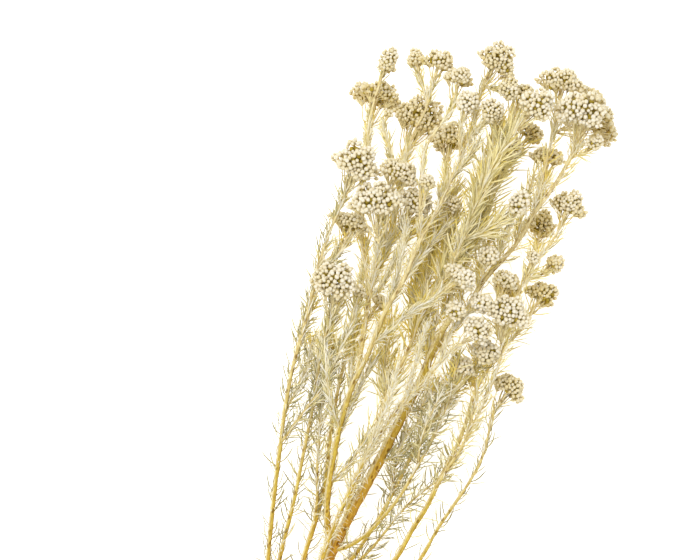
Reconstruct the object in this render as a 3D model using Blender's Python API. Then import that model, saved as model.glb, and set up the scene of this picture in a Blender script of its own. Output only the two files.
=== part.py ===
"""A dried rice flower stalk, cut and laid down: a woody forking stem, leafy branches and domed
heads of round buds. Metres, +Z up, +Y from the cut end to the heads, origin on the surface that
the stalk lies on, under the middle of its box."""

import math
import random

import bmesh
import bpy
import numpy as np
from mathutils import Matrix, Quaternion, Vector
from mathutils.geometry import interpolate_bezier, intersect_point_line

# The places below are pixels of the photo, seen from above the lying stalk, with a height in mm.
MM = 0.001
PIXEL = 0.62 * MM
PHOTO_MIDDLE = (350, 280)
LEAN = math.radians(20)
EYE_HEIGHT = 2400 * MM
MIDDLE_HEIGHT = 50 * MM
BOX_MIDDLE = (44.7 * MM, -80.4 * MM)

# Stems
SEAT = 0.3 * MM
CURVE_POINTS = 12
STEM_BALLS = 8
STEM_STEP = 22 * MM
THICK = 1.5 * MM
LAST_STEP = 2 * MM

# Needle leaves
NEEDLE_SPACING = 10.8 * MM
SPACING_SHARE = (0.85, 1.15)
FIRST_SHARE = (0.6, 1.2)
NEEDLE_LENGTH = (9 * MM, 12.5 * MM)
NEEDLE_RADIUS = 0.5 * MM
NEEDLE_ANGLE = (34, 50)
LEAFLESS_RADIUS = 1.95 * MM
LEAFLESS_END = 90 * MM
NEEDLE_ROOM = 0.9 * MM
NEEDLE_SAMPLES = (0, 0.15, 0.3, 0.45, 0.6, 0.8, 1)
GOLDEN_ANGLE = math.pi * (3 - math.sqrt(5))
DRAW_SEED = 12

# Flower heads
UPWARD_SHARE = 0.86
DOME_SHARE = 1.3
SMALL_HEAD = 18
BUD_RISE = (0.93, 1.07)
BUD_VALLEY = 0.74
UNDERSIDE = -0.75

WOOD = ((0.45, 0.22, 0.05, 1), 0.7)
GOLD_STEM = ((0.60, 0.40, 0.12, 1), 0.7)
STRAW_STEM = ((0.72, 0.62, 0.36, 1), 0.75)
BUDS = ((0.85, 0.78, 0.62, 1), 0.85)


def twig(root_mm, tip_mm, *route, head=None, taper=1):
    """One twig: its radius at both ends, its route of (pixel x, pixel y, height in mm), and the
    width and height in mm of the flower head whose middle is at the route's end. A taper below 1
    keeps the twig thick for longer."""
    return {"radii": (root_mm * MM, tip_mm * MM, taper), "route": route, "head": head}


MAIN_STEM = [
    twig(4.2, 1.0, (234, 795, 3.6), (262, 725, 10), (293, 647, 17), (328, 560, 26), (353, 509, 31),
         (376, 467, 36), (398, 424, 41), (420, 382, 48), (432, 352, 56), (442, 331, 70),
         (456, 310, 87), head=(15, 13), taper=0.33),
    twig(1.0, 0.6, (379, 462, 37), (394, 457, 41), (403, 452, 43), (414, 444, 45), (425, 434, 46)),
    twig(1.0, 0.6, (405, 412, 43), (416, 410, 48), (430, 396, 52), (440, 382, 56)),
    twig(1.0, 0.6, (428, 362, 52), (426, 345, 46), (424, 325, 40), (426, 305, 36)),
    twig(0.8, 0.6, (429, 360, 53), (431, 342, 47), (437, 323, 43), (446, 305, 40), (453, 289, 38)),
]
LEFT_BRANCH = [
    twig(2.0, 0.9, (254, 745, 8.4), (257, 705, 16), (262, 650, 24), (268, 557, 36), (278, 463, 44),
         (290, 380, 50), (308, 311, 56), (322, 254, 62), (343, 199, 72), (357, 162, 82),
         head=(28, 26)),
    twig(1.7, 0.8, (261, 660, 22), (280, 557, 30), (294, 500, 34), (305, 445, 40), (315, 395, 46),
         (320, 355, 54), (329, 322, 62), (335, 281, 72), head=(29, 22)),
    twig(1.1, 0.7, (281, 443, 45), (294, 425, 51), (309, 405, 54), (324, 385, 56), (340, 350, 58),
         (352, 322, 58), (360, 293, 58), head=(8, 9)),
    twig(0.9, 0.6, (286, 410, 48), (297, 390, 42), (306, 368, 38), (312, 340, 34)),
    twig(1.0, 0.7, (317, 276, 60), (332, 262, 58), (344, 243, 56), (352, 222, 54), head=(26, 14)),
    twig(0.8, 0.6, (296, 355, 52), (301, 340, 50), (307, 320, 47), (312, 305, 45)),
    twig(0.8, 0.6, (319, 365, 52), (324, 345, 48), (330, 330, 46), (337, 312, 46), (342, 298, 46)),
]
INNER_LEFT_BRANCH = [
    twig(2.3, 0.7, (284, 670, 14.8), (293, 610, 22), (304, 557, 27), (313, 528, 29),
         (322, 497, 30), (327, 465, 29), (331, 430, 27), (337, 395, 25), (346, 358, 23),
         (360, 328, 21), (381, 302, 19), head=(14, 10)),
    twig(1.1, 0.6, (314, 525, 29), (317, 500, 33), (317, 470, 37), (319, 440, 38), (321, 410, 38),
         (326, 375, 37), (333, 345, 36)),
]
LONG_BRANCH = [
    twig(2.2, 0.9, (331, 553, 27), (328, 530, 34), (327, 509, 40), (329, 484, 46), (333, 459, 50),
         (339, 430, 54), (346, 404, 57), (354, 382, 60), (369, 352, 64), (385, 312, 68),
         (403, 281, 71), (420, 240, 72), (439, 207, 69), (451, 180, 64), (463, 152, 60),
         (473, 125, 58), (480, 95, 59), (498, 60, 62), head=(25, 23)),
    twig(1.0, 0.6, (329, 484, 46), (342, 472, 48), (353, 459, 50), (361, 446, 51), (368, 434, 52)),
    twig(0.9, 0.6, (350, 393, 58), (352, 371, 52), (353, 348, 47), (354, 325, 43),
         (358, 295, 39), (363, 266, 36), (367, 244, 35)),
    twig(1.5, 0.8, (358, 374, 61), (361, 349, 57), (365, 328, 53), (368, 300, 48), (366, 272, 44),
         (362, 245, 40), (359, 215, 37), (362, 190, 35), (366, 155, 34), (370, 121, 35),
         (377, 92, 37), (387, 62, 39), head=(14, 19)),
    twig(0.9, 0.7, (365, 165, 34), (366, 145, 27), (369, 125, 18), (379, 95, 11.4), head=(30, 17)),
    twig(1.1, 0.8, (368, 303, 49), (374, 275, 58), (377, 250, 68), (377, 228, 78), (375, 200, 84),
         head=(31, 21)),
    twig(1.1, 0.8, (370, 290, 47), (379, 267, 47), (388, 247, 47), (400, 226, 53), (415, 202, 62),
         head=(24, 19)),
    twig(0.9, 0.7, (383, 257, 47), (385, 232, 50), (383, 210, 56), (400, 171, 64), head=(25, 17)),
    twig(1.0, 0.8, (374, 280, 46), (388, 245, 37), (397, 205, 31), (403, 168, 30), (414, 133, 36),
         (425, 111, 40), (431, 90, 43), (440, 61, 47), head=(20, 17)),
    twig(0.8, 0.7, (428, 104, 41), (423, 88, 38), (415, 60, 34), head=(13, 14)),
    twig(0.9, 0.7, (402, 175, 30), (405, 158, 24), (412, 138, 19), (422, 118, 18.6), head=(32, 26)),
    twig(1.0, 0.7, (370, 296, 48), (378, 291, 53), (386, 277, 57), (400, 249, 60), (413, 233, 61),
         (430, 219, 59), (452, 204, 57), head=(12, 11)),
    twig(1.0, 0.7, (420, 240, 72), (420, 215, 76), (421, 180, 75), (426, 148, 69), (438, 128, 66),
         (450, 110, 63), (459, 77, 60), head=(20, 15)),
    twig(0.8, 0.6, (420, 212, 76), (424, 198, 81), (427, 182, 85), head=(11, 11)),
    twig(0.9, 0.7, (439, 207, 69), (444, 186, 60), (446, 165, 50), (448, 138, 44), head=(23, 20)),
    twig(0.9, 0.7, (466, 145, 59), (479, 128, 70), (492, 111, 77), head=(17, 18)),
    twig(0.8, 0.7, (460, 158, 60), (459, 136, 64), (463, 118, 68), (467, 103, 70), head=(16, 17)),
    twig(0.8, 0.7, (484, 86, 60), (491, 88, 68), (500, 89, 76), (509, 88, 82), head=(17, 15)),
    twig(1.0, 0.7, (372, 345, 65), (388, 332, 72), (405, 316, 77), (423, 304, 80), (442, 292, 83),
         (461, 277, 86), head=(23, 13)),
    twig(0.9, 0.6, (381, 322, 67), (389, 300, 66), (395, 282, 66), (400, 262, 66), (404, 240, 68),
         (407, 222, 71)),
    twig(0.8, 0.6, (388, 247, 47), (396, 235, 42), (405, 227, 38), (415, 222, 35)),
    twig(0.9, 0.6, (403, 281, 71), (414, 265, 66), (424, 252, 62), (435, 238, 58), (446, 226, 56)),
    twig(0.8, 0.6, (451, 180, 64), (461, 168, 67), (469, 156, 69), (476, 146, 69)),
    twig(0.8, 0.6, (339, 430, 54), (334, 412, 60), (329, 395, 64), (327, 375, 66), (325, 352, 66)),
    twig(0.8, 0.6, (338, 434, 53), (347, 414, 50), (356, 395, 49), (366, 375, 50), (376, 357, 52)),
    twig(0.7, 0.6, (399, 190, 31), (395, 173, 36), (391, 157, 40), (388, 142, 43), (384, 128, 45),
         (388, 114, 46), head=(7, 7)),
]
MIDDLE_BRANCH = [
    twig(1.7, 0.8, (344, 527, 29.3), (350, 500, 33), (358, 476, 34), (367, 452, 36),
         (376, 425, 38), (387, 397, 42), (400, 368, 46), (412, 341, 49), (421, 316, 52),
         (438, 287, 58), (454, 262, 66), (465, 232, 74), (474, 209, 78), (489, 174, 82),
         (508, 140, 84), (520, 126, 86), (537, 105, 88), head=(22, 25)),
    twig(1.0, 0.8, (447, 273, 62), (468, 248, 58), (482, 223, 54), (493, 187, 46), (505, 165, 38),
         (519, 148, 31), (531, 132, 26), head=(21, 13)),
    twig(1.0, 0.7, (452, 266, 65), (462, 245, 64), (471, 226, 61), (477, 205, 58), (482, 182, 56),
         (494, 168, 55), (511, 150, 54), head=(12, 17)),
    twig(0.9, 0.6, (385, 402, 41), (385, 376, 35), (385, 350, 32), (388, 322, 30)),
    twig(0.9, 0.6, (421, 316, 52), (424, 298, 46), (427, 275, 42), (432, 250, 39), (438, 228, 38),
         (446, 210, 38), (452, 195, 38)),
    twig(0.9, 0.6, (412, 341, 49), (413, 322, 42), (414, 300, 37), (417, 278, 33), (421, 258, 31),
         (428, 240, 30)),
    twig(0.8, 0.6, (438, 287, 58), (441, 268, 52), (445, 250, 49), (449, 232, 47), (455, 215, 46)),
    twig(0.8, 0.6, (465, 240, 72), (478, 234, 74), (490, 228, 74), (499, 222, 74)),
    twig(0.8, 0.7, (500, 155, 83), (505, 140, 77), (511, 122, 72), (518, 107, 69), (524, 92, 68),
         head=(15, 11)),
    twig(0.9, 0.6, (474, 209, 78), (479, 190, 73), (484, 172, 69), (489, 156, 66), (494, 142, 64),
         (498, 130, 63)),
]
FRONT_BRANCH = [
    twig(1.9, 0.9, (299, 630, 18.7), (307, 597, 30), (322, 557, 41), (342, 508, 50), (365, 460, 58),
         (387, 424, 62), (405, 400, 65), (423, 383, 68), (437, 366, 71), (448, 354, 74),
         (461, 344, 79), (478, 331, 83), head=(19, 17)),
    twig(0.9, 0.7, (440, 363, 71), (448, 338, 71), (459, 321, 70), (470, 311, 72), (480, 303, 76),
         head=(16, 14)),
    twig(0.9, 0.6, (365, 460, 58), (373, 440, 66), (381, 420, 72), (388, 402, 76), (393, 385, 78),
         (397, 368, 79)),
    twig(0.9, 0.6, (405, 400, 65), (410, 382, 71), (416, 362, 75), (421, 342, 78), (427, 325, 80)),
]
GOLDEN_BRANCH = [
    twig(1.4, 0.8, (333, 549, 27), (343, 548, 31), (354, 543, 34), (368, 533, 36), (390, 509, 38),
         (403, 491, 41), (418, 465, 45), (433, 438, 48), (447, 405, 50), (462, 366, 53),
         head=(17, 13)),
    twig(0.8, 0.6, (418, 465, 45), (420, 445, 52), (426, 425, 57), (434, 408, 60), (441, 393, 62)),
    twig(0.8, 0.6, (447, 405, 50), (452, 388, 56), (455, 372, 60), (457, 355, 62)),
]
LOWER_BRANCH = [
    twig(1.6, 0.9, (312, 599, 22.2), (330, 580, 20), (353, 557, 18), (368, 535, 18), (379, 518, 18),
         (390, 498, 20), (400, 478, 21), (420, 440, 24), (440, 412, 28), (457, 390, 33),
         (474, 371, 44), (487, 352, 62), head=(19, 18)),
    twig(1.0, 0.6, (326, 584, 20.5), (346, 571, 14), (368, 552, 11), (385, 532, 10), (398, 515, 10),
         (416, 497, 10), (431, 485, 11), (444, 472, 12), (453, 454, 13)),
    twig(0.8, 0.6, (390, 498, 20), (393, 480, 24), (396, 462, 30), (401, 445, 34), (408, 430, 36)),
    twig(0.8, 0.6, (420, 440, 24), (420, 420, 20), (424, 402, 18), (430, 385, 18)),
    twig(0.8, 0.6, (440, 412, 28), (446, 396, 22), (450, 380, 19), (455, 366, 18)),
]
RIGHT_BRANCH = [
    twig(2.2, 0.9, (281, 678, 14.2), (300, 652, 15), (340, 610, 18), (375, 580, 22),
         (396, 558, 25), (413, 528, 28), (427, 506, 31), (438, 483, 33), (450, 460, 35),
         (464, 428, 37), (476, 390, 38), (492, 363, 37), (507, 345, 35), (521, 329, 31),
         (543, 294, 25), head=(20, 17)),
    twig(1.2, 0.8, (436, 487, 33), (448, 468, 38), (460, 450, 42), (471, 429, 46), (481, 408, 50),
         (490, 388, 54), (499, 363, 60), (503, 338, 67), (509, 312, 76), head=(25, 21)),
    twig(1.0, 0.8, (505, 348, 35), (511, 322, 38), (519, 292, 42), (532, 266, 43), (545, 250, 44),
         (557, 233, 45), (568, 204, 46), head=(22, 19)),
    twig(0.8, 0.7, (510, 327, 37), (509, 310, 26), (508, 285, 15), head=(18, 15)),
    twig(0.8, 0.7, (502, 345, 65), (497, 322, 57), (499, 303, 54), (505, 281, 54), head=(17, 15)),
    twig(0.8, 0.7, (524, 281, 42), (538, 277, 37), (554, 263, 32), head=(12, 14)),
    twig(0.8, 0.7, (537, 260, 43), (537, 248, 25), (541, 224, 9.35), head=(20, 21)),
    twig(0.7, 0.6, (521, 288, 42), (527, 275, 49), (533, 257, 56), head=(10, 8)),
    twig(0.8, 0.6, (465, 441, 44), (470, 425, 50), (474, 408, 55), (478, 392, 58)),
    twig(0.8, 0.6, (476, 390, 38), (474, 372, 32), (476, 352, 28), (482, 335, 27)),
]
FAR_RIGHT_BRANCH = [
    twig(1.8, 0.8, (272, 700, 12.2), (300, 672, 11), (340, 638, 10), (385, 598, 9), (418, 562, 10),
         (438, 528, 14), (453, 506, 18), (468, 484, 22), (481, 460, 27), (488, 436, 31),
         (494, 412, 34), (511, 387, 36), head=(21, 16)),
]
UPPER_RIGHT_BRANCH = [
    twig(2.0, 0.9, (436, 345, 55), (448, 336, 54), (463, 316, 52), (477, 291, 50), (489, 274, 50),
         (502, 260, 50), (516, 244, 50), (534, 214, 54), (554, 186, 60), (570, 158, 66),
         (577, 138, 71), (582, 110, 79), head=(32, 22)),
    twig(0.9, 0.7, (479, 289, 50), (483, 274, 56), (488, 256, 63), head=(14, 14)),
    twig(0.9, 0.7, (493, 270, 50), (500, 250, 58), (508, 230, 68), (518, 204, 78), head=(14, 18)),
    twig(1.0, 0.8, (532, 218, 54), (541, 185, 52), (549, 150, 51), (556, 117, 52), (562, 81, 54),
         head=(27, 19)),
    twig(0.9, 0.7, (568, 160, 66), (577, 146, 56), (584, 131, 49), (592, 120, 45), (601, 116, 43),
         head=(36, 12)),
    twig(0.8, 0.7, (570, 156, 66), (583, 154, 71), (594, 143, 75), head=(11, 12)),
    twig(0.9, 0.7, (534, 212, 54), (538, 200, 46), (542, 185, 40), (546, 170, 36), (549, 157, 36),
         head=(21, 13)),
    twig(0.8, 0.6, (463, 316, 52), (460, 298, 46), (462, 278, 42), (466, 258, 40), (471, 240, 40),
         (476, 225, 41)),
    twig(0.8, 0.6, (477, 291, 50), (478, 272, 43), (484, 255, 38), (490, 240, 36), (497, 225, 36)),
    twig(0.8, 0.6, (516, 244, 50), (519, 228, 46), (524, 210, 43), (529, 190, 42), (535, 174, 43)),
]
BRANCHES = {
    "left_branch": (LEFT_BRANCH, GOLD_STEM),
    "inner_left_branch": (INNER_LEFT_BRANCH, GOLD_STEM),
    "long_branch": (LONG_BRANCH, GOLD_STEM),
    "middle_branch": (MIDDLE_BRANCH, STRAW_STEM),
    "front_branch": (FRONT_BRANCH, STRAW_STEM),
    "golden_branch": (GOLDEN_BRANCH, GOLD_STEM),
    "lower_branch": (LOWER_BRANCH, STRAW_STEM),
    "right_branch": (RIGHT_BRANCH, GOLD_STEM),
    "far_right_branch": (FAR_RIGHT_BRANCH, GOLD_STEM),
    "upper_right_branch": (UPPER_RIGHT_BRANCH, STRAW_STEM),
}


def radius_at(radii, share):
    """A twig's radius at a share of its length."""
    root, tip, taper = radii
    return tip + (root - tip) * (1 - share) ** taper


def plan(x, y, height_mm):
    """The point that the photo shows at pixel (x, y), at a height above the surface."""
    height = height_mm * MM
    nearness = (EYE_HEIGHT - height) / (EYE_HEIGHT - MIDDLE_HEIGHT)
    across = (x - PHOTO_MIDDLE[0]) * PIXEL * nearness
    up = (PHOTO_MIDDLE[1] - y) * PIXEL * nearness
    return Vector((
        across * math.cos(LEAN) - up * math.sin(LEAN) - BOX_MIDDLE[0],
        across * math.sin(LEAN) + up * math.cos(LEAN) - BOX_MIDDLE[1],
        height,
    ))


def smooth(points):
    """A smooth curve through the given points, as many close points."""
    tangents = [
        (after - before).normalized()
        for before, after in zip(points[:1] + points, points[1:] + points[-1:])
    ]
    line = points[:1]
    for start, end, leaving, arriving in zip(points, points[1:], tangents, tangents[1:]):
        reach = (end - start).length / 3
        line += interpolate_bezier(
            start, start + leaving * reach, end - arriving * reach, end, CURVE_POINTS
        )[1:]
    return line


def thinned(line, step):
    """The points of a line that lie at least a step apart, with both its ends."""
    kept = line[:1]
    for point in line[1:]:
        if (point - kept[-1]).length >= step:
            kept.append(point)
    if (line[-1] - kept[-1]).length < step / 2 and len(kept) > 2:
        kept.pop()
    return kept + line[-1:]


def material(name, colour, roughness):
    """A plain Principled material."""
    made = bpy.data.materials.new(name)
    made.use_nodes = True
    shader = made.node_tree.nodes["Principled BSDF"]
    shader.inputs["Base Color"].default_value = colour
    shader.inputs["Roughness"].default_value = roughness
    shader.inputs["Metallic"].default_value = 0
    made.diffuse_color = colour
    return made


def link(name, mesh):
    """A new object in the scene."""
    made = bpy.data.objects.new(name, mesh)
    bpy.context.scene.collection.objects.link(made)
    return made


def closed_mesh(bm, name):
    """A bmesh's closed shape as a mesh, with its faces pointing out."""
    bmesh.ops.remove_doubles(bm, verts=bm.verts, dist=MM / 1000)
    bmesh.ops.recalc_face_normals(bm, faces=bm.faces)
    mesh = bpy.data.meshes.new(name)
    bm.to_mesh(mesh)
    bm.free()
    return mesh


def rod(name, line, radii):
    """A tube along a line that tapers from root to tip, its ends closed."""
    curve = bpy.data.curves.new(name, "CURVE")
    curve.dimensions = "3D"
    curve.bevel_depth = 1
    curve.bevel_resolution = 1 if radii[0] > THICK else 0
    curve.use_fill_caps = True
    spline = curve.splines.new("POLY")
    spline.points.add(len(line) - 1)
    for index, (point, place) in enumerate(zip(spline.points, line)):
        point.co = (*place, 1)
        point.radius = radius_at(radii, index / (len(line) - 1))
    holder = link(name, curve)
    bpy.context.view_layer.update()
    bm = bmesh.new()
    bm.from_mesh(bpy.data.meshes.new_from_object(holder.evaluated_get(
        bpy.context.evaluated_depsgraph_get())))
    bpy.data.objects.remove(holder)
    return link(name, closed_mesh(bm, name))


def combine(base, others, operation):
    """Joins the other objects to a base, or cuts them from it, in one Boolean on a collection."""
    group = bpy.data.collections.new(base.name + "_pieces")
    bpy.context.scene.collection.children.link(group)
    for other in others:
        group.objects.link(other)
    change = base.modifiers.new("combine", "BOOLEAN")
    change.operation = operation
    change.operand_type = "COLLECTION"
    change.collection = group
    change.solver = "MANIFOLD"
    bpy.context.view_layer.update()
    finished = base.evaluated_get(bpy.context.evaluated_depsgraph_get())
    mesh = bpy.data.meshes.new_from_object(finished)
    base.modifiers.clear()
    base.data = mesh
    for other in others:
        bpy.data.objects.remove(other)
    bpy.data.collections.remove(group)


def head_frame(twig_line, size):
    """A head's middle, its turn (local Z along the twig's end) and its three half sizes."""
    along = (twig_line[-1] - twig_line[-CURVE_POINTS // 2]).normalized()
    side = along.cross(Vector((0, 0, 1))).normalized()
    turn = Matrix((side, along.cross(side), along)).transposed()
    half = size[0] / 2 * MM
    halves = Vector((half, half * UPWARD_SHARE, size[1] / 2 * MM))
    return twig_line[-1], turn, halves


def cut_back(line, length):
    """The points of a line that lie further than a length from its end."""
    return [point for point in line if (point - line[-1]).length > length]


def flower_head(name, middle, turn, halves, small, draw, finish):
    """A domed head whose surface is all round buds, each raised over one point of a ball."""
    bm = bmesh.new()
    bmesh.ops.create_icosphere(bm, subdivisions=1 if small else 2, radius=1)
    tips = list(bm.verts)
    ridges = list(bm.edges)
    valleys = bmesh.ops.poke(bm, faces=bm.faces)["verts"]
    bmesh.ops.rotate_edges(bm, edges=ridges)
    for tip in tips:
        if tip.co.z > UNDERSIDE:
            tip.co *= draw.uniform(*BUD_RISE)
    for valley in valleys:
        valley.co = valley.co.normalized() * BUD_VALLEY
    top = halves.z * DOME_SHARE
    bottom = 2 * halves.z - top
    for vert in bm.verts:
        height = vert.co.z * (top if vert.co.z > 0 else bottom) + bottom - halves.z
        vert.co = Vector((vert.co.x * halves.x, vert.co.y * halves.y, height))
    bmesh.ops.transform(bm, matrix=Matrix.Translation(middle) @ turn.to_4x4(), verts=bm.verts)
    head = link(name, closed_mesh(bm, name))
    head.data.materials.append(finish)


class Room:
    """The places that are taken, as balls, each with the name of the node that it belongs to."""

    def __init__(self):
        self.places = []
        self.radii = []
        self.names = []

    def take(self, name, place, radius):
        self.places.append(tuple(place))
        self.radii.append(radius)
        self.names.append(name)

    def free(self, name, places, room):
        """Whether places keep the room to every ball of another node, and lie above the floor."""
        if min(place.z for place in places) < room:
            return False
        others = np.array([other != name for other in self.names])
        balls = np.array(self.places)[others]
        radii = np.array(self.radii)[others]
        for place in places:
            gaps = np.linalg.norm(balls - np.array(place), axis=1) - radii
            if gaps.min() < room:
                return False
        return True


def needle_mesh():
    """A three-sided needle of unit length on +Z."""
    bm = bmesh.new()
    bmesh.ops.create_cone(
        bm, cap_ends=True, segments=3, radius1=NEEDLE_RADIUS, radius2=0, depth=1,
        matrix=Matrix.Translation((0, 0, 0.5)))
    return closed_mesh(bm, "needle")


def needles(name, line, radii, mesh, room, draw, bare):
    """Needle leaves in a spiral along a stem, where there is room for them."""
    made = []
    lengths = [(b - a).length for a, b in zip(line, line[1:])]
    whole = sum(lengths)
    travelled = 0
    due = NEEDLE_SPACING * draw.uniform(*FIRST_SHARE)
    turn = draw.uniform(0, math.tau)
    for start, end, length in zip(line, line[1:], lengths):
        along = (end - start).normalized()
        side = along.orthogonal().normalized()
        while due <= travelled + length:
            spot = start + along * (due - travelled)
            radius = radius_at(radii, min(1, due / whole))
            lean = math.radians(draw.uniform(*NEEDLE_ANGLE))
            out = Quaternion(along, turn) @ side
            direction = along * math.cos(lean) + out * math.sin(lean)
            reach = draw.uniform(*NEEDLE_LENGTH)
            due += NEEDLE_SPACING * draw.uniform(*SPACING_SHARE)
            turn += GOLDEN_ANGLE
            if radius > LEAFLESS_RADIUS or spot.y < bare:
                continue
            samples = [spot + direction * reach * share for share in NEEDLE_SAMPLES]
            if not room.free(name, samples, NEEDLE_ROOM):
                continue
            for sample in samples:
                room.take(name, sample, NEEDLE_ROOM)
            leaf = link("needle", mesh)
            leaf.matrix_world = (
                Matrix.Translation(spot) @ direction.to_track_quat("Z", "Y").to_matrix().to_4x4()
                @ Matrix.Diagonal((1, 1, reach, 1)))
            made.append(leaf)
        travelled += length
    return made


def nearest(lines, place):
    """The point on any of the lines that is nearest to a place."""
    found = []
    for line in lines:
        for start, end in zip(line, line[1:]):
            point, share = intersect_point_line(place, start, end)
            found.append(start if share < 0 else end if share > 1 else point)
    return min(found, key=lambda point: (point - place).length)


def stem_lines(twigs, carriers):
    """Each twig's whole smooth line, and its line as far as the underside of its head. A twig's
    root is moved onto the nearest stem before it, or onto a carrier."""
    lines = []
    for item in twigs:
        route = [plan(*point) for point in item["route"]]
        stems = [kept for _, kept in lines] or carriers
        if stems:
            route[0] = nearest(stems, route[0])
        line = smooth(route)
        kept = line
        if item["head"]:
            middle, turn, halves = head_frame(line, item["head"])
            end = middle - turn.col[2] * (halves.z + SEAT)
            kept = cut_back(line, halves.z + SEAT + LAST_STEP) + [end]
        lines.append((line, thinned(kept, STEM_STEP)))
    return lines


def leafy_stem(name, twigs, lines, cutter, finish, mesh, room, draw, bare):
    """A branch with all its twigs and needle leaves as one body, seated on the main stem."""
    stems = [rod(name, kept, item["radii"]) for item, (_, kept) in zip(twigs, lines)]
    base = stems[0]
    base.name = name
    if cutter:
        combine(base, [cutter], "DIFFERENCE")
    pieces = stems[1:]
    for item, (_, kept) in zip(twigs, lines):
        pieces += needles(name, kept, item["radii"], mesh, room, draw, bare)
    combine(base, pieces, "UNION")
    base.data.materials.clear()
    base.data.materials.append(finish)
    return base


def take_stem(room, name, line, radii):
    """Fills the room of a stem with balls."""
    last = len(line) - 1
    for index, (start, end) in enumerate(zip(line, line[1:])):
        for step in range(STEM_BALLS):
            share = step / STEM_BALLS
            radius = radius_at(radii, (index + share) / last)
            room.take(name, start.lerp(end, share), radius)


def main():
    for item in list(bpy.data.objects):
        bpy.data.objects.remove(item)
    draw = random.Random(DRAW_SEED)
    room = Room()
    mesh = needle_mesh()
    everything = {"main_stem": (MAIN_STEM, WOOD), **BRANCHES}
    lines = {"main_stem": stem_lines(MAIN_STEM, [])}
    trunk = lines["main_stem"][0][1]
    for name, (twigs, _) in BRANCHES.items():
        lines[name] = stem_lines(twigs, [trunk])
    bare = trunk[0].y + LEAFLESS_END
    bud_finish = material("buds", *BUDS)
    heads = 0
    for name, (twigs, _) in everything.items():
        for item, (line, kept) in zip(twigs, lines[name]):
            take_stem(room, name, kept, item["radii"])
            if item["head"]:
                heads += 1
                head = f"flower_head_{heads:02d}"
                middle, turn, halves = head_frame(line, item["head"])
                room.take(head, middle, max(halves))
                small = item["head"][0] < SMALL_HEAD
                flower_head(head, middle, turn, halves, small, draw, bud_finish)
    for name, (twigs, colour) in everything.items():
        cutter = None
        if name != "main_stem":
            root, tip, taper = MAIN_STEM[0]["radii"]
            cutter = rod("cutter", trunk, (root + SEAT, tip + SEAT, taper))
        leafy_stem(name, twigs, lines[name], cutter, material(name, *colour), mesh, room,
                   draw, bare)


main()
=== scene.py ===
import math
import random
from collections import namedtuple

import bmesh
import bpy
import numpy as np
from bpy.props import FloatProperty, FloatVectorProperty, IntProperty, PointerProperty
from mathutils import Matrix, Quaternion, Vector, kdtree, noise
from mathutils.geometry import interpolate_bezier, intersect_point_line


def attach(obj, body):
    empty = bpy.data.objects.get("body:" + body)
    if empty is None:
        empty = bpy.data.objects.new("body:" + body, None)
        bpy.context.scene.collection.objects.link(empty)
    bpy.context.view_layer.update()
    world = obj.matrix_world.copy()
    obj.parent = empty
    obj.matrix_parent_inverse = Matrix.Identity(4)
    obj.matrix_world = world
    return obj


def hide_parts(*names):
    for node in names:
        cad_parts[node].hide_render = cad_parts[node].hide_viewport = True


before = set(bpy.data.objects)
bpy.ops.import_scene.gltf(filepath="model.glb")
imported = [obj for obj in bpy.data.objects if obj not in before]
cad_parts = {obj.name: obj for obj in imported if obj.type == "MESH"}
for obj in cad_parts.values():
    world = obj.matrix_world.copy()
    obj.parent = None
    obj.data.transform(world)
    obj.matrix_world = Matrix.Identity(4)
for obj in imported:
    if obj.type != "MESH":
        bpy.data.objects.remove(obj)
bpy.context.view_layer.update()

bl_info = {
    "name": "Dried rice flower stalk",
    "version": (1, 0, 0),
    "blender": (4, 5, 0),
    "location": "3D View > Sidebar > Stalk",
    "description": "A dried, bleached rice flower stalk that lies on a pale floor",
    "category": "Add Mesh",
}

# The routes below are pixels of the photo, seen from above the lying stalk, with a height in mm.
MM = 0.001
PIXEL = 0.62 * MM
PHOTO_MIDDLE = (350, 280)
LEAN = math.radians(20)
EYE_HEIGHT = 2400 * MM
MIDDLE_HEIGHT = 50 * MM
BOX_MIDDLE = (44.7 * MM, -80.4 * MM)
CURVE_POINTS = 12
GOLDEN_ANGLE = math.pi * (3 - math.sqrt(5))

# Along the stalk (Y), wood is new above one place, and oldest below the other, near the foot.
NEW_WOOD = 100 * MM
OLD_WOOD = -250 * MM
YOUNG_SHARE = 0.2

# The bark's age grows with a stem's radius, from the thin one on, and with its place.
THIN_RADIUS = 0.8 * MM
AGEING_RADIUS = 2.2 * MM
AGE_BY_RADIUS = 0.25
AGE_BY_RADIUS_IN_OLD_WOOD = 0.3
AGE_BY_PLACE = 0.5
FINE_SIDES = 3
THIN_SIDES = 8
THICK_SIDES = 12
THICK_RADIUS = 1.5 * MM
UNEVEN_LENGTH = 5 * MM
# The direction of the bark's painted light: a painted highlight on the side of a stem that faces it,
# painted shade on the side away from it.
SUN = Vector((-0.95, -0.15, 0.3))

# A leaf's widths from root to tip, and how far it bows away from the twig, or towards it if
# below 0, as a share of its length.
LEAF_OUTLINE = (0.6, 0.9, 1.0, 0.88, 0.4)
LEAF_BOWS = {
    "top leaves": (0.03, 0.1, 0.18, 0.3, -0.08, 0.22),
    "side leaves": (-0.25, -0.38, -0.52, -0.12, -0.6, 0.22),
    "curls": (0.5, 0.75, 0.95),
}
BOW_POWER = 1.6
BOW_SHORTENING = 0.35
LARGEST_WAVE = 0.08
WAVE_TURN = 4.5
STAMP_SEED = 3

# Where leaves stand. A leaf's side is the height of its outward direction, from -1 to 1.
UNDERSIDE = -0.35
UPPER_SIDE = 0.3
TOP_SIDE = 0.45
VERY_TOP = 0.85
TOP_POWER = 0.8
GROWING_UP = 3
UNEVEN_SPACING = (0.5, 1.5)
TURN_SPREAD = 0.4
LEAN_LIMITS = (math.radians(5), math.radians(75))
LEAF_SIZES = (0.65, 1.15)
LEAF_ROOT = 0.7
LEAF_WIDTH_POWER = 0.4
LEAF_BOW_POWER = 0.7
TIP_BOW = 0.3
FREE_DISTANCE = 5.5 * MM
HEAD_CLEARANCE = 0.7
CLEARANCE_OVER_HEAD = 0.9

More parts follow.
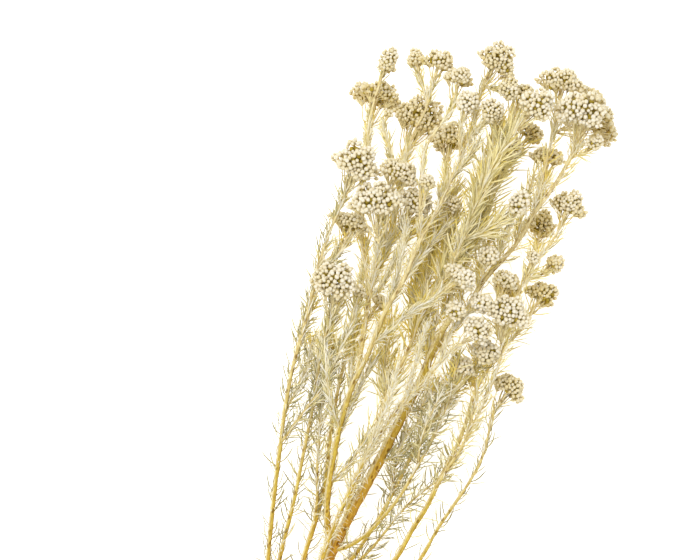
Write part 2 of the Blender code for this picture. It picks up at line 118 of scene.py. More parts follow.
# Curls are what is left of old leaves on the thicker stems.
CURL_RADIUS = 1.15
BARE_OF_CURLS = 0.3
CURL_LEANS = (10, 70)
CURL_SIZES = (0.3, 0.62)
CURL_WIDTH = 0.8
CURL_ROOT = 0.9
CURL_TONES = (0.55, 1)

# Leaf tones: 0 is gold, 0.2 olive, 0.5 straw, 1 bleached. Gold is painted shade for the leaves
# underneath and under other twigs. They are (middle, spread, lowest, highest), or the last
# three where the middle is worked out.
COVERED_SHADE_TONE = (0.05, 0.04, 0, 0.13)
UNDERSIDE_SHADE_TONE = (0.06, 0.07, 0, 0.2)
OLIVE_TONE = 0.31
OLIVE_BY_PLACE = 0.12
OLIVE_BY_SIDE = 0.08
OLIVE_SPREAD = (0.08, 0.2, 0.9)
OLIVE_SHARE = 2.4
PALE_BY_SIDE = 0.22
PALE_BY_PLACE = 0.5
PALE_SPREAD = (0.14, 0.3, 1)

# A bud is a little longer than wide and drawn in at its tip.
BUD_SEGMENTS = (6, 5)
BUD_PINCH = 0.2
PINCH_START = 0.75
BUD_LENGTHENING = 1.1

# A head is rounder above its middle than below, and is made of small domes, each on a fork.
UPWARD_SHARE = 0.86
DOME_SHARE = 1.3
LEAST_SHELL = 0.5
WIDEST_DOME = 1.1
FEWEST_DOMES = 4
DOMES_PER_BALL = 2.2
LOWEST_DOME = -0.35
DOME_TILT = 0.25
DOME_HEIGHTS = (0.98, 1.22)
DOME_TONE = 0.55
DOME_TONE_SPREAD = 0.12
FORK_DEPTHS = (0.7, 1.15)
HUB_HEIGHT = 0.8
HUB_SHARE = 0.66
FORK_BEND = 0.12
FORK_WIDTHS = (0.6, 0.5)
TWIG_WIDTH = 0.28
STALK_TAPER = (1, 0.8)
STALK_AGES = (0.04, 0)
STALK_TONE = 0.5

# Its buds stand in an outer and an inner layer. The inner buds are darker, as painted shade deep in
# the head.
LAYERS = (1, 0.7)
LOWEST_BUD = -0.5
BUD_JITTER = 0.09
RIM = 0.12
RIM_DEPTH = 0.55
RIM_REACHES = (0.88, 1.2)
DOME_REACHES = (0.95, 1.04)
BUD_SIZES = (0.78, 1.14)
BUD_CLEARANCE = 1.25
BUD_CROWDING = 0.82
STALKED_BELOW = 0.4
BUD_FOOT = 0.8
SHADED_INNER_TONE = 0.05
BUD_TONE_BY_SIDE = 0.2
BUD_TONE_SPREAD = 0.14

# Some heads have whiter, larger buds and some duller ones.
WHITE_HEADS = (1, 2, 3, 10, 11, 21, 23, 25, 29, 30, 31, 32, 34, 42, 43, 44)
DULL_HEADS = (9, 15, 26, 33, 38, 39, 48)
WHITENESS = 0.2
DULLNESS = -0.08
WHITE_SWELL = 1.04
USUAL_SWELL = 0.9

# The marks of the dry grain: texture, its output, its scale along the stalk and its settings.
WHITE = (1, 1, 1)
GRAINS = {
    "Streak": ("ShaderNodeTexNoise", "Fac", 0.12, {"Detail": 3.0, "Roughness": 0.6}),
    "Fleck": ("ShaderNodeTexNoise", "Fac", 1, {"Detail": 2.0}),
    "Scar": ("ShaderNodeTexVoronoi", "Distance", 0.5, {"Randomness": 1.0}),
}

# The lamps, as seen from the middle of the photo.
KEY_OFFSET = (-0.55, 0.4, 2.0)
KEY_SIZE = 1.1
FILL_OFFSET = (1.1, -0.5, 1.3)
FILL_SIZE = 1.6


# How a branch's leaves differ from the others.
Habit = namedtuple("Habit", "leafiness length spread paleness bareness curls bleaching",
                   defaults=(1, 1, 1, 0, 1, 1, 0.66))


def twig(root_mm, tip_mm, *route, head=None, taper=1):
    """One twig: its radius at both ends, its route of (pixel x, pixel y, height in mm), and the
    width and height in mm of the flower head whose middle is at the route's end. A taper below 1
    keeps the twig thick for longer."""
    return {"radii": (root_mm * MM, tip_mm * MM, taper), "route": route, "head": head}


MAIN_STEM = [
    twig(4.2, 1.0, (234, 795, 3.6), (262, 725, 10), (293, 647, 17), (328, 560, 26), (353, 509, 31),
         (376, 467, 36), (398, 424, 41), (420, 382, 48), (432, 352, 56), (442, 331, 70),
         (456, 310, 87), head=(15, 13), taper=0.33),
    twig(1.0, 0.6, (379, 462, 37), (394, 457, 41), (403, 452, 43), (414, 444, 45), (425, 434, 46)),
    twig(1.0, 0.6, (405, 412, 43), (416, 410, 48), (430, 396, 52), (440, 382, 56)),
    twig(1.0, 0.6, (428, 362, 52), (426, 345, 46), (424, 325, 40), (426, 305, 36)),
    twig(0.8, 0.6, (429, 360, 53), (431, 342, 47), (437, 323, 43), (446, 305, 40), (453, 289, 38)),
]
LEFT_BRANCH = [
    twig(2.0, 0.9, (254, 745, 8.4), (257, 705, 16), (262, 650, 24), (268, 557, 36), (278, 463, 44),
         (290, 380, 50), (308, 311, 56), (322, 254, 62), (343, 199, 72), (357, 162, 82),
         head=(28, 26)),
    twig(1.7, 0.8, (261, 660, 22), (280, 557, 30), (294, 500, 34), (305, 445, 40), (315, 395, 46),
         (320, 355, 54), (329, 322, 62), (335, 281, 72), head=(29, 22)),
    twig(1.1, 0.7, (281, 443, 45), (294, 425, 51), (309, 405, 54), (324, 385, 56), (340, 350, 58),
         (352, 322, 58), (360, 293, 58), head=(8, 9)),
    twig(0.9, 0.6, (286, 410, 48), (297, 390, 42), (306, 368, 38), (312, 340, 34)),
    twig(1.0, 0.7, (317, 276, 60), (332, 262, 58), (344, 243, 56), (352, 222, 54), head=(26, 14)),
    twig(0.8, 0.6, (296, 355, 52), (301, 340, 50), (307, 320, 47), (312, 305, 45)),
    twig(0.8, 0.6, (319, 365, 52), (324, 345, 48), (330, 330, 46), (337, 312, 46), (342, 298, 46)),
]
INNER_LEFT_BRANCH = [
    twig(2.3, 0.7, (284, 670, 14.8), (293, 610, 22), (304, 557, 27), (313, 528, 29),
         (322, 497, 30), (327, 465, 29), (331, 430, 27), (337, 395, 25), (346, 358, 23),
         (360, 328, 21), (381, 302, 19), head=(14, 10)),
    twig(1.1, 0.6, (314, 525, 29), (317, 500, 33), (317, 470, 37), (319, 440, 38), (321, 410, 38),
         (326, 375, 37), (333, 345, 36)),
]
LONG_BRANCH = [
    twig(2.2, 0.9, (331, 553, 27), (328, 530, 34), (327, 509, 40), (329, 484, 46), (333, 459, 50),
         (339, 430, 54), (346, 404, 57), (354, 382, 60), (369, 352, 64), (385, 312, 68),
         (403, 281, 71), (420, 240, 72), (439, 207, 69), (451, 180, 64), (463, 152, 60),
         (473, 125, 58), (480, 95, 59), (498, 60, 62), head=(25, 23)),
    twig(1.0, 0.6, (329, 484, 46), (342, 472, 48), (353, 459, 50), (361, 446, 51), (368, 434, 52)),
    twig(0.9, 0.6, (350, 393, 58), (352, 371, 52), (353, 348, 47), (354, 325, 43),
         (358, 295, 39), (363, 266, 36), (367, 244, 35)),
    twig(1.5, 0.8, (358, 374, 61), (361, 349, 57), (365, 328, 53), (368, 300, 48), (366, 272, 44),
         (362, 245, 40), (359, 215, 37), (362, 190, 35), (366, 155, 34), (370, 121, 35),
         (377, 92, 37), (387, 62, 39), head=(14, 19)),
    twig(0.9, 0.7, (365, 165, 34), (366, 145, 27), (369, 125, 18), (379, 95, 11.4), head=(30, 17)),
    twig(1.1, 0.8, (368, 303, 49), (374, 275, 58), (377, 250, 68), (377, 228, 78), (375, 200, 84),
         head=(31, 21)),
    twig(1.1, 0.8, (370, 290, 47), (379, 267, 47), (388, 247, 47), (400, 226, 53), (415, 202, 62),
         head=(24, 19)),
    twig(0.9, 0.7, (383, 257, 47), (385, 232, 50), (383, 210, 56), (400, 171, 64), head=(25, 17)),
    twig(1.0, 0.8, (374, 280, 46), (388, 245, 37), (397, 205, 31), (403, 168, 30), (414, 133, 36),
         (425, 111, 40), (431, 90, 43), (440, 61, 47), head=(20, 17)),
    twig(0.8, 0.7, (428, 104, 41), (423, 88, 38), (415, 60, 34), head=(13, 14)),
    twig(0.9, 0.7, (402, 175, 30), (405, 158, 24), (412, 138, 19), (422, 118, 18.6), head=(32, 26)),
    twig(1.0, 0.7, (370, 296, 48), (378, 291, 53), (386, 277, 57), (400, 249, 60), (413, 233, 61),
         (430, 219, 59), (452, 204, 57), head=(12, 11)),
    twig(1.0, 0.7, (420, 240, 72), (420, 215, 76), (421, 180, 75), (426, 148, 69), (438, 128, 66),
         (450, 110, 63), (459, 77, 60), head=(20, 15)),
    twig(0.8, 0.6, (420, 212, 76), (424, 198, 81), (427, 182, 85), head=(11, 11)),
    twig(0.9, 0.7, (439, 207, 69), (444, 186, 60), (446, 165, 50), (448, 138, 44), head=(23, 20)),
    twig(0.9, 0.7, (466, 145, 59), (479, 128, 70), (492, 111, 77), head=(17, 18)),
    twig(0.8, 0.7, (460, 158, 60), (459, 136, 64), (463, 118, 68), (467, 103, 70), head=(16, 17)),
    twig(0.8, 0.7, (484, 86, 60), (491, 88, 68), (500, 89, 76), (509, 88, 82), head=(17, 15)),
    twig(1.0, 0.7, (372, 345, 65), (388, 332, 72), (405, 316, 77), (423, 304, 80), (442, 292, 83),
         (461, 277, 86), head=(23, 13)),
    twig(0.9, 0.6, (381, 322, 67), (389, 300, 66), (395, 282, 66), (400, 262, 66), (404, 240, 68),
         (407, 222, 71)),
    twig(0.8, 0.6, (388, 247, 47), (396, 235, 42), (405, 227, 38), (415, 222, 35)),
    twig(0.9, 0.6, (403, 281, 71), (414, 265, 66), (424, 252, 62), (435, 238, 58), (446, 226, 56)),
    twig(0.8, 0.6, (451, 180, 64), (461, 168, 67), (469, 156, 69), (476, 146, 69)),
    twig(0.8, 0.6, (339, 430, 54), (334, 412, 60), (329, 395, 64), (327, 375, 66), (325, 352, 66)),
    twig(0.8, 0.6, (338, 434, 53), (347, 414, 50), (356, 395, 49), (366, 375, 50), (376, 357, 52)),
    twig(0.7, 0.6, (399, 190, 31), (395, 173, 36), (391, 157, 40), (388, 142, 43), (384, 128, 45),
         (388, 114, 46), head=(7, 7)),
]
MIDDLE_BRANCH = [
    twig(1.7, 0.8, (344, 527, 29.3), (350, 500, 33), (358, 476, 34), (367, 452, 36),
         (376, 425, 38), (387, 397, 42), (400, 368, 46), (412, 341, 49), (421, 316, 52),
         (438, 287, 58), (454, 262, 66), (465, 232, 74), (474, 209, 78), (489, 174, 82),
         (508, 140, 84), (520, 126, 86), (537, 105, 88), head=(22, 25)),
    twig(1.0, 0.8, (447, 273, 62), (468, 248, 58), (482, 223, 54), (493, 187, 46), (505, 165, 38),
         (519, 148, 31), (531, 132, 26), head=(21, 13)),
    twig(1.0, 0.7, (452, 266, 65), (462, 245, 64), (471, 226, 61), (477, 205, 58), (482, 182, 56),
         (494, 168, 55), (511, 150, 54), head=(12, 17)),
    twig(0.9, 0.6, (385, 402, 41), (385, 376, 35), (385, 350, 32), (388, 322, 30)),
    twig(0.9, 0.6, (421, 316, 52), (424, 298, 46), (427, 275, 42), (432, 250, 39), (438, 228, 38),
         (446, 210, 38), (452, 195, 38)),
    twig(0.9, 0.6, (412, 341, 49), (413, 322, 42), (414, 300, 37), (417, 278, 33), (421, 258, 31),
         (428, 240, 30)),
    twig(0.8, 0.6, (438, 287, 58), (441, 268, 52), (445, 250, 49), (449, 232, 47), (455, 215, 46)),
    twig(0.8, 0.6, (465, 240, 72), (478, 234, 74), (490, 228, 74), (499, 222, 74)),
    twig(0.8, 0.7, (500, 155, 83), (505, 140, 77), (511, 122, 72), (518, 107, 69), (524, 92, 68),
         head=(15, 11)),
    twig(0.9, 0.6, (474, 209, 78), (479, 190, 73), (484, 172, 69), (489, 156, 66), (494, 142, 64),
         (498, 130, 63)),
]
FRONT_BRANCH = [
    twig(1.9, 0.9, (299, 630, 18.7), (307, 597, 30), (322, 557, 41), (342, 508, 50), (365, 460, 58),
         (387, 424, 62), (405, 400, 65), (423, 383, 68), (437, 366, 71), (448, 354, 74),
         (461, 344, 79), (478, 331, 83), head=(19, 17)),
    twig(0.9, 0.7, (440, 363, 71), (448, 338, 71), (459, 321, 70), (470, 311, 72), (480, 303, 76),
         head=(16, 14)),
    twig(0.9, 0.6, (365, 460, 58), (373, 440, 66), (381, 420, 72), (388, 402, 76), (393, 385, 78),
         (397, 368, 79)),
    twig(0.9, 0.6, (405, 400, 65), (410, 382, 71), (416, 362, 75), (421, 342, 78), (427, 325, 80)),
]
GOLDEN_BRANCH = [
    twig(1.4, 0.8, (333, 549, 27), (343, 548, 31), (354, 543, 34), (368, 533, 36), (390, 509, 38),
         (403, 491, 41), (418, 465, 45), (433, 438, 48), (447, 405, 50), (462, 366, 53),
         head=(17, 13)),
    twig(0.8, 0.6, (418, 465, 45), (420, 445, 52), (426, 425, 57), (434, 408, 60), (441, 393, 62)),
    twig(0.8, 0.6, (447, 405, 50), (452, 388, 56), (455, 372, 60), (457, 355, 62)),
]
LOWER_BRANCH = [
    twig(1.6, 0.9, (312, 599, 22.2), (330, 580, 20), (353, 557, 18), (368, 535, 18), (379, 518, 18),
         (390, 498, 20), (400, 478, 21), (420, 440, 24), (440, 412, 28), (457, 390, 33),
         (474, 371, 44), (487, 352, 62), head=(19, 18)),
    twig(1.0, 0.6, (326, 584, 20.5), (346, 571, 14), (368, 552, 11), (385, 532, 10), (398, 515, 10),
         (416, 497, 10), (431, 485, 11), (444, 472, 12), (453, 454, 13)),
    twig(0.8, 0.6, (390, 498, 20), (393, 480, 24), (396, 462, 30), (401, 445, 34), (408, 430, 36)),
    twig(0.8, 0.6, (420, 440, 24), (420, 420, 20), (424, 402, 18), (430, 385, 18)),
    twig(0.8, 0.6, (440, 412, 28), (446, 396, 22), (450, 380, 19), (455, 366, 18)),
]
RIGHT_BRANCH = [
    twig(2.2, 0.9, (281, 678, 14.2), (300, 652, 15), (340, 610, 18), (375, 580, 22),
         (396, 558, 25), (413, 528, 28), (427, 506, 31), (438, 483, 33), (450, 460, 35),
         (464, 428, 37), (476, 390, 38), (492, 363, 37), (507, 345, 35), (521, 329, 31),
         (543, 294, 25), head=(20, 17)),
    twig(1.2, 0.8, (436, 487, 33), (448, 468, 38), (460, 450, 42), (471, 429, 46), (481, 408, 50),
         (490, 388, 54), (499, 363, 60), (503, 338, 67), (509, 312, 76), head=(25, 21)),
    twig(1.0, 0.8, (505, 348, 35), (511, 322, 38), (519, 292, 42), (532, 266, 43), (545, 250, 44),
         (557, 233, 45), (568, 204, 46), head=(22, 19)),
    twig(0.8, 0.7, (510, 327, 37), (509, 310, 26), (508, 285, 15), head=(18, 15)),
    twig(0.8, 0.7, (502, 345, 65), (497, 322, 57), (499, 303, 54), (505, 281, 54), head=(17, 15)),
    twig(0.8, 0.7, (524, 281, 42), (538, 277, 37), (554, 263, 32), head=(12, 14)),
    twig(0.8, 0.7, (537, 260, 43), (537, 248, 25), (541, 224, 9.35), head=(20, 21)),
    twig(0.7, 0.6, (521, 288, 42), (527, 275, 49), (533, 257, 56), head=(10, 8)),
    twig(0.8, 0.6, (465, 441, 44), (470, 425, 50), (474, 408, 55), (478, 392, 58)),
    twig(0.8, 0.6, (476, 390, 38), (474, 372, 32), (476, 352, 28), (482, 335, 27)),
]
FAR_RIGHT_BRANCH = [
    twig(1.8, 0.8, (272, 700, 12.2), (300, 672, 11), (340, 638, 10), (385, 598, 9), (418, 562, 10),
         (438, 528, 14), (453, 506, 18), (468, 484, 22), (481, 460, 27), (488, 436, 31),
         (494, 412, 34), (511, 387, 36), head=(21, 16)),
]
UPPER_RIGHT_BRANCH = [
    twig(2.0, 0.9, (436, 345, 55), (448, 336, 54), (463, 316, 52), (477, 291, 50), (489, 274, 50),
         (502, 260, 50), (516, 244, 50), (534, 214, 54), (554, 186, 60), (570, 158, 66),
         (577, 138, 71), (582, 110, 79), head=(32, 22)),
    twig(0.9, 0.7, (479, 289, 50), (483, 274, 56), (488, 256, 63), head=(14, 14)),
    twig(0.9, 0.7, (493, 270, 50), (500, 250, 58), (508, 230, 68), (518, 204, 78), head=(14, 18)),
    twig(1.0, 0.8, (532, 218, 54), (541, 185, 52), (549, 150, 51), (556, 117, 52), (562, 81, 54),
         head=(27, 19)),
    twig(0.9, 0.7, (568, 160, 66), (577, 146, 56), (584, 131, 49), (592, 120, 45), (601, 116, 43),
         head=(36, 12)),
    twig(0.8, 0.7, (570, 156, 66), (583, 154, 71), (594, 143, 75), head=(11, 12)),
    twig(0.9, 0.7, (534, 212, 54), (538, 200, 46), (542, 185, 40), (546, 170, 36), (549, 157, 36),
         head=(21, 13)),
    twig(0.8, 0.6, (463, 316, 52), (460, 298, 46), (462, 278, 42), (466, 258, 40), (471, 240, 40),
         (476, 225, 41)),
    twig(0.8, 0.6, (477, 291, 50), (478, 272, 43), (484, 255, 38), (490, 240, 36), (497, 225, 36)),
    twig(0.8, 0.6, (516, 244, 50), (519, 228, 46), (524, 210, 43), (529, 190, 42), (535, 174, 43)),
]
BRANCHES = {
    "main_stem": (MAIN_STEM, "wood", Habit(leafiness=1.9)),
    "left_branch": (LEFT_BRANCH, "gold_stem", Habit(leafiness=2.4, length=0.95, spread=0.9)),
    "inner_left_branch": (INNER_LEFT_BRANCH, "gold_stem", Habit(leafiness=1.8, spread=0.9)),
    "long_branch": (LONG_BRANCH, "gold_stem", Habit(
        leafiness=2.3, length=0.85, spread=0.6, paleness=0.1, bareness=0.6)),
    "middle_branch": (MIDDLE_BRANCH, "straw_stem", Habit(
        leafiness=2.5, length=1.35, spread=0.82, paleness=0.12, bareness=0.5, bleaching=0.5)),
    "front_branch": (FRONT_BRANCH, "straw_stem", Habit(
        leafiness=3.4, length=0.5, spread=0.7, paleness=0.5, bareness=0.15, curls=3)),
    "golden_branch": (GOLDEN_BRANCH, "gold_stem", Habit(leafiness=1.7)),
    "lower_branch": (LOWER_BRANCH, "straw_stem", Habit(leafiness=2.2)),
    "right_branch": (RIGHT_BRANCH, "gold_stem", Habit(leafiness=1.4, paleness=0.15)),
    "far_right_branch": (FAR_RIGHT_BRANCH, "gold_stem", Habit(
        leafiness=1.1, length=0.9, spread=0.8)),
    "upper_right_branch": (UPPER_RIGHT_BRANCH, "straw_stem", Habit(
        leafiness=1.5, paleness=0.15)),
}


def within(value, low, high):
    """A value held between two limits."""
    return min(high, max(low, value))


def radius_at(radii, share):
    """A twig's radius at a share of its length."""
    root, tip, taper = radii
    return tip + (root - tip) * (1 - share) ** taper


def plan(x, y, height_mm):
    """The point that the photo shows at pixel (x, y), at a height above the surface."""
    height = height_mm * MM
    nearness = (EYE_HEIGHT - height) / (EYE_HEIGHT - MIDDLE_HEIGHT)
    across = (x - PHOTO_MIDDLE[0]) * PIXEL * nearness
    up = (PHOTO_MIDDLE[1] - y) * PIXEL * nearness
    return Vector((
        across * math.cos(LEAN) - up * math.sin(LEAN) - BOX_MIDDLE[0],
        across * math.sin(LEAN) + up * math.cos(LEAN) - BOX_MIDDLE[1],
        height,
    ))


def smooth(points):
    """A smooth curve through the given points, as many close points."""
    tangents = [
        (after - before).normalized()
        for before, after in zip(points[:1] + points, points[1:] + points[-1:])
    ]
    line = points[:1]
    for start, end, leaving, arriving in zip(points, points[1:], tangents, tangents[1:]):
        reach = (end - start).length / 3
        line += interpolate_bezier(
            start, start + leaving * reach, end - arriving * reach, end, CURVE_POINTS
        )[1:]
    return line


def nearest(lines, place):
    """The point on any of the lines that is nearest to a place."""
    found = []
    for line in lines:
        for start, end in zip(line, line[1:]):
            point, share = intersect_point_line(place, start, end)
            found.append(start if share < 0 else end if share > 1 else point)
    return min(found, key=lambda point: (point - place).length)


def even(line, step):
    """Points one step apart along a line, with both its ends."""
    kept = [line[0]]
    spare = 0
    for start, end in zip(line, line[1:]):
        length = (end - start).length
        while spare + step <= length:
            spare += step
            kept.append(start.lerp(end, spare / length))
        spare -= length
    kept[-1 if len(kept) > 2 else len(kept):] = [line[-1]]
    return kept


def twig_lines(twigs, carriers):
    """Each twig's smooth line. Its root is moved onto the nearest stem before it, or a carrier."""
    lines = []
    for item in twigs:
        route = [plan(*point) for point in item["route"]]
        stems = lines or carriers
        if stems:
            route[0] = nearest(stems, route[0])
        lines.append(smooth(route))
    return lines


def all_lines():
    """The smooth line of every twig, by branch. The other branches grow from the main stem."""
    lines = {"main_stem": twig_lines(MAIN_STEM, [])}
    trunk = lines["main_stem"][0]
    for name, (twigs, *_) in BRANCHES.items():
        if name != "main_stem":
            lines[name] = twig_lines(twigs, [trunk])
    return lines


def headed_twigs(lines):
    """The line of every twig that bears a head, with the head's size."""
    return [(line, item["head"]) for name, (twigs, *_) in BRANCHES.items()
            for item, line in zip(twigs, lines[name]) if item["head"]]


def old_share(spot):
    """How old the wood at a place is: from 0 among the heads to 1 at the cut end."""
    return within((NEW_WOOD - spot.y) / (NEW_WOOD - OLD_WOOD), 0, 1)


def leaning(along, out, lean):
    """The turn of a leaf that leans from its twig by an angle, towards one side."""
    direction = along * math.cos(lean) + out * math.sin(lean)
    facing = (out - direction * out.dot(direction)).normalized()
    return Matrix((facing.cross(direction), facing, direction)).transposed().to_4x4()


class Neighbours:
    """Tells whether a place, seen from above, has another twig close by."""

    def __init__(self, lines):
        points = [(point, id(line)) for group in lines.values() for line in group for point in line]
        self.owners = [owner for _, owner in points]
        self.heights = [point.z for point, _ in points]
        self.tree = kdtree.KDTree(len(points))
        for index, (point, _) in enumerate(points):
            self.tree.insert((point.x, point.y, 0), index)
        self.tree.balance()

    def around(self, place):
        """The numbers of the twig points near a place, seen from above."""
        return [index for _, index, _ in self.tree.find_range((place.x, place.y, 0), FREE_DISTANCE)]

    def free(self, place, line):
        """Whether no twig but its own is near a place."""
        return all(self.owners[index] == id(line) for index in self.around(place))

    def covered(self, place):
        """Whether a twig passes well above a place."""
        return any(self.heights[index] > place.z + FREE_DISTANCE for index in self.around(place))


def new_bmesh():
    """An empty bmesh with the two values that the materials read: height and tone."""
    bm = bmesh.new()
    bm.verts.layers.float.new("height")
    bm.verts.layers.float.new("tone")
    return bm


def ring_frames(line, widths, flat):
    """Where each ring of a rod stands, turned as little as possible from the one before."""
    turn = (line[1] - line[0]).to_track_quat("Z", "Y")
    made = []
    for index, (point, width) in enumerate(zip(line, widths)):
        along = line[min(index + 1, len(line) - 1)] - line[max(index - 1, 0)]
        turn = (turn @ Vector((0, 0, 1))).rotation_difference(along) @ turn
        made.append(Matrix.LocRotScale(point, turn, Vector((width, width * flat, 1))))
    return made


def sweep(bm, line, widths, sides, flat=1, ages=None):
    """A closed rod along a line: a circle extruded from point to point."""
    height = bm.verts.layers.float["height"]
    frames = ring_frames(line, widths, flat)
    ages = ages or [index / (len(line) - 1) for index in range(len(line))]
    ring = bmesh.ops.create_circle(
        bm, cap_ends=True, segments=sides, radius=1, matrix=frames[0])["verts"]
    for vert in ring:
        vert[height] = ages[0]
    edges = list({edge for vert in ring for edge in vert.link_edges})
    for before, after, age in zip(frames, frames[1:], ages[1:]):
        grown = bmesh.ops.extrude_edge_only(bm, edges=edges)["geom"]
        ring = [item for item in grown if isinstance(item, bmesh.types.BMVert)]
        edges = [item for item in grown if isinstance(item, bmesh.types.BMEdge)]
        bmesh.ops.transform(bm, matrix=after @ before.inverted(), verts=ring)
        for vert in ring:
            vert[height] = age
    bmesh.ops.contextual_create(bm, geom=edges)


class Stamp:
    """A small shape on +Z that is copied many times into a larger mesh."""

    def __init__(self, name, bm, material=0, smooth=False):
        bmesh.ops.recalc_face_normals(bm, faces=bm.faces)
        for face in bm.faces:
            face.smooth = smooth
            face.material_index = material
        self.mesh = new_mesh(name, bm)
        flat = np.empty(len(self.mesh.vertices) * 3)
        self.mesh.vertices.foreach_get("co", flat)
        self.places = np.c_[flat.reshape(-1, 3), np.ones(len(flat) // 3)]

    def press(self, bm, place, tone):
        """Adds one copy at a place, with one tone all over."""
        moved = self.places @ np.array(place).T
        self.mesh.vertices.foreach_set("co", moved[:, :3].ravel())
        self.mesh.attributes["tone"].data.foreach_set("value", [tone] * len(moved))
        bm.from_mesh(self.mesh)


def between(start, end, width):
    """The place of a unit stamp on +Z that is stretched from one point to another."""
    along = end - start
    return Matrix.LocRotScale(
        start, along.to_track_quat("Z", "Y"), Vector((width, width, along.length)))


def leaf_line(length, bow, wave):
    """A leaf's middle line on +Z, bowed along Y and a little wavy along X."""
    rings = len(LEAF_OUTLINE)
    line = []
    for share in (index / (rings - 1) for index in range(rings)):
        rise = share * (1 - BOW_SHORTENING * abs(bow) * share)
        spot = Vector((wave * math.sin(WAVE_TURN * share), bow * share ** BOW_POWER, rise))
        line.append(spot * length)
    return line


def leaf_stamps(leaves, bows, draw):
    """Needle leaves that differ in how far they bow and wave."""
    made = []
    for bow in bows:
        bm = new_bmesh()
        line = leaf_line(leaves.length, bow, draw.uniform(-LARGEST_WAVE, LARGEST_WAVE))
        widths = [leaves.width / 2 * part for part in LEAF_OUTLINE]
        sweep(bm, line, widths, FINE_SIDES, flat=leaves.thickness / leaves.width)
        made.append(Stamp("leaf", bm, 1))
    return made


def bud_stamp(buds):
    """A round bud, a little longer than wide and drawn in at the tip."""
    bm = new_bmesh()
    height = bm.verts.layers.float["height"]
    around, down = BUD_SEGMENTS
    bmesh.ops.create_uvsphere(bm, u_segments=around, v_segments=down, radius=1)
    for vert in bm.verts:
        share = (vert.co.z + 1) / 2
        vert[height] = share
        pinch = 1 - BUD_PINCH * max(0, share - PINCH_START)
        vert.co = Vector((vert.co.x * pinch, vert.co.y * pinch, vert.co.z * BUD_LENGTHENING))
    bmesh.ops.scale(bm, vec=Vector((1, 1, 1)) * buds.width / 2, verts=bm.verts)
    return Stamp("bud", bm, 1, smooth=True)


def stalk_stamp():
    """A unit rod on +Z, of young bark, for the fine stalks inside a head."""
    bm = new_bmesh()
    ends = [Vector((0, 0, 0)), Vector((0, 0, 1))]
    sweep(bm, ends, STALK_TAPER, FINE_SIDES, ages=STALK_AGES)
    return Stamp("stalk", bm, 0)


def new_object(name, data):
    """An object in the scene that shows a mesh, a lamp or a camera."""
    made = bpy.data.objects.new(name, data)
    bpy.context.scene.collection.objects.link(made)
    return made


def new_mesh(name, bm, materials=()):
    """A mesh made from a bmesh, which is freed."""
    mesh = bpy.data.meshes.new(name)
    bm.to_mesh(mesh)
    bm.free()
    for material in materials:
        mesh.materials.append(material)
    return mesh


def finish_piece(bm, name, materials, node, slot):
    """Makes a bmesh the piece that stands for a CAD node, with nothing below the floor."""
    for vert in bm.verts:
        vert.co.z = max(vert.co.z, 0)
    piece = new_object(name, new_mesh(name, bm, materials))
    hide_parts(node)
    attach(piece, "root")
    return piece


def bark_age(radius, spot):
    """How old a stem's bark looks: older where the stem is thick and near the foot."""
    old = old_share(spot)
    thickness = (radius - THIN_RADIUS) / AGEING_RADIUS
    age = thickness * (AGE_BY_RADIUS + AGE_BY_RADIUS_IN_OLD_WOOD * old) + AGE_BY_PLACE * old
    return within(age, 0, 1)


def grow_bark(bm, twigs, lines, bark):
    """The rods of a branch, uneven in width and with the light on their sunny side as tone."""
    for item, line in zip(twigs, lines):
        spots = even(line, bark.ring_spacing)
        last = len(spots) - 1
        taper = [radius_at(item["radii"], index / last) for index in range(last + 1)]
        widths = [radius * (bark.slimness + bark.unevenness * noise.noise(spot / UNEVEN_LENGTH))
                  for radius, spot in zip(taper, spots)]
        ages = [bark_age(radius, spot) for radius, spot in zip(taper, spots)]
        sides = THICK_SIDES if item["radii"][0] > THICK_RADIUS else THIN_SIDES
        sweep(bm, spots, widths, sides, ages=ages)
    bmesh.ops.recalc_face_normals(bm, faces=bm.faces)
    for face in bm.faces:
        face.smooth = True
    bm.normal_update()
    # Each bark vertex's tone is how far it faces SUN: the painted light that the bark material
    # reads.
    tone = bm.verts.layers.float["tone"]
    for vert in bm.verts:
        vert[tone] = 0.5 + 0.5 * vert.normal.dot(SUN)


def leaf_places(line, radii, leaves, habit, draw):
    """Where each leaf of a twig stands: in a spiral, closer together where the twig is young."""
    lengths = [(end - start).length for start, end in zip(line, line[1:])]
    whole = sum(lengths)
    travelled = 0
    due = leaves.spacing * draw.uniform(*UNEVEN_SPACING)
    turn = draw.uniform(0, math.tau)
    for start, end, length in zip(line, line[1:], lengths):
        along = (end - start).normalized()
        side = along.orthogonal().normalized()
        while due <= travelled + length:
            spot = start + along * (due - travelled)
            radius = radius_at(radii, min(1, due / whole))
            out = Quaternion(along, turn + draw.uniform(-TURN_SPREAD, TURN_SPREAD)) @ side
            top_share = max(0, out.z) ** TOP_POWER
            grown_up = min(1, old_share(spot) * GROWING_UP)
            side_angle = leaves.young_angle + (leaves.side_angle - leaves.young_angle) * grown_up
            middle_angle = side_angle + (leaves.top_angle - side_angle) * top_share
            lean = within(draw.gauss(middle_angle, leaves.angle_spread), *LEAN_LIMITS) * habit.spread
            age = max(1, radius / leaves.young_radius) * (1 + leaves.old_foot * old_share(spot))
            step = leaves.spacing / habit.leafiness * draw.uniform(*UNEVEN_SPACING)
            due += step * age ** leaves.shedding
            turn += GOLDEN_ANGLE
            if out.z < UNDERSIDE and draw.random() < leaves.underside_bareness:
                continue
            bareness = leaves.old_top_bareness * (age - 1) * habit.bareness
            if out.z > UPPER_SIDE and draw.random() < bareness:
                continue
            size = habit.length * draw.uniform(*LEAF_SIZES)
            stretch = Matrix.Diagonal(
                (min(1, size) ** LEAF_WIDTH_POWER, size ** LEAF_BOW_POWER, size, 1))
            yield (Matrix.Translation(spot + out * radius * LEAF_ROOT)
                   @ leaning(along, out, lean) @ stretch), out
        travelled += length


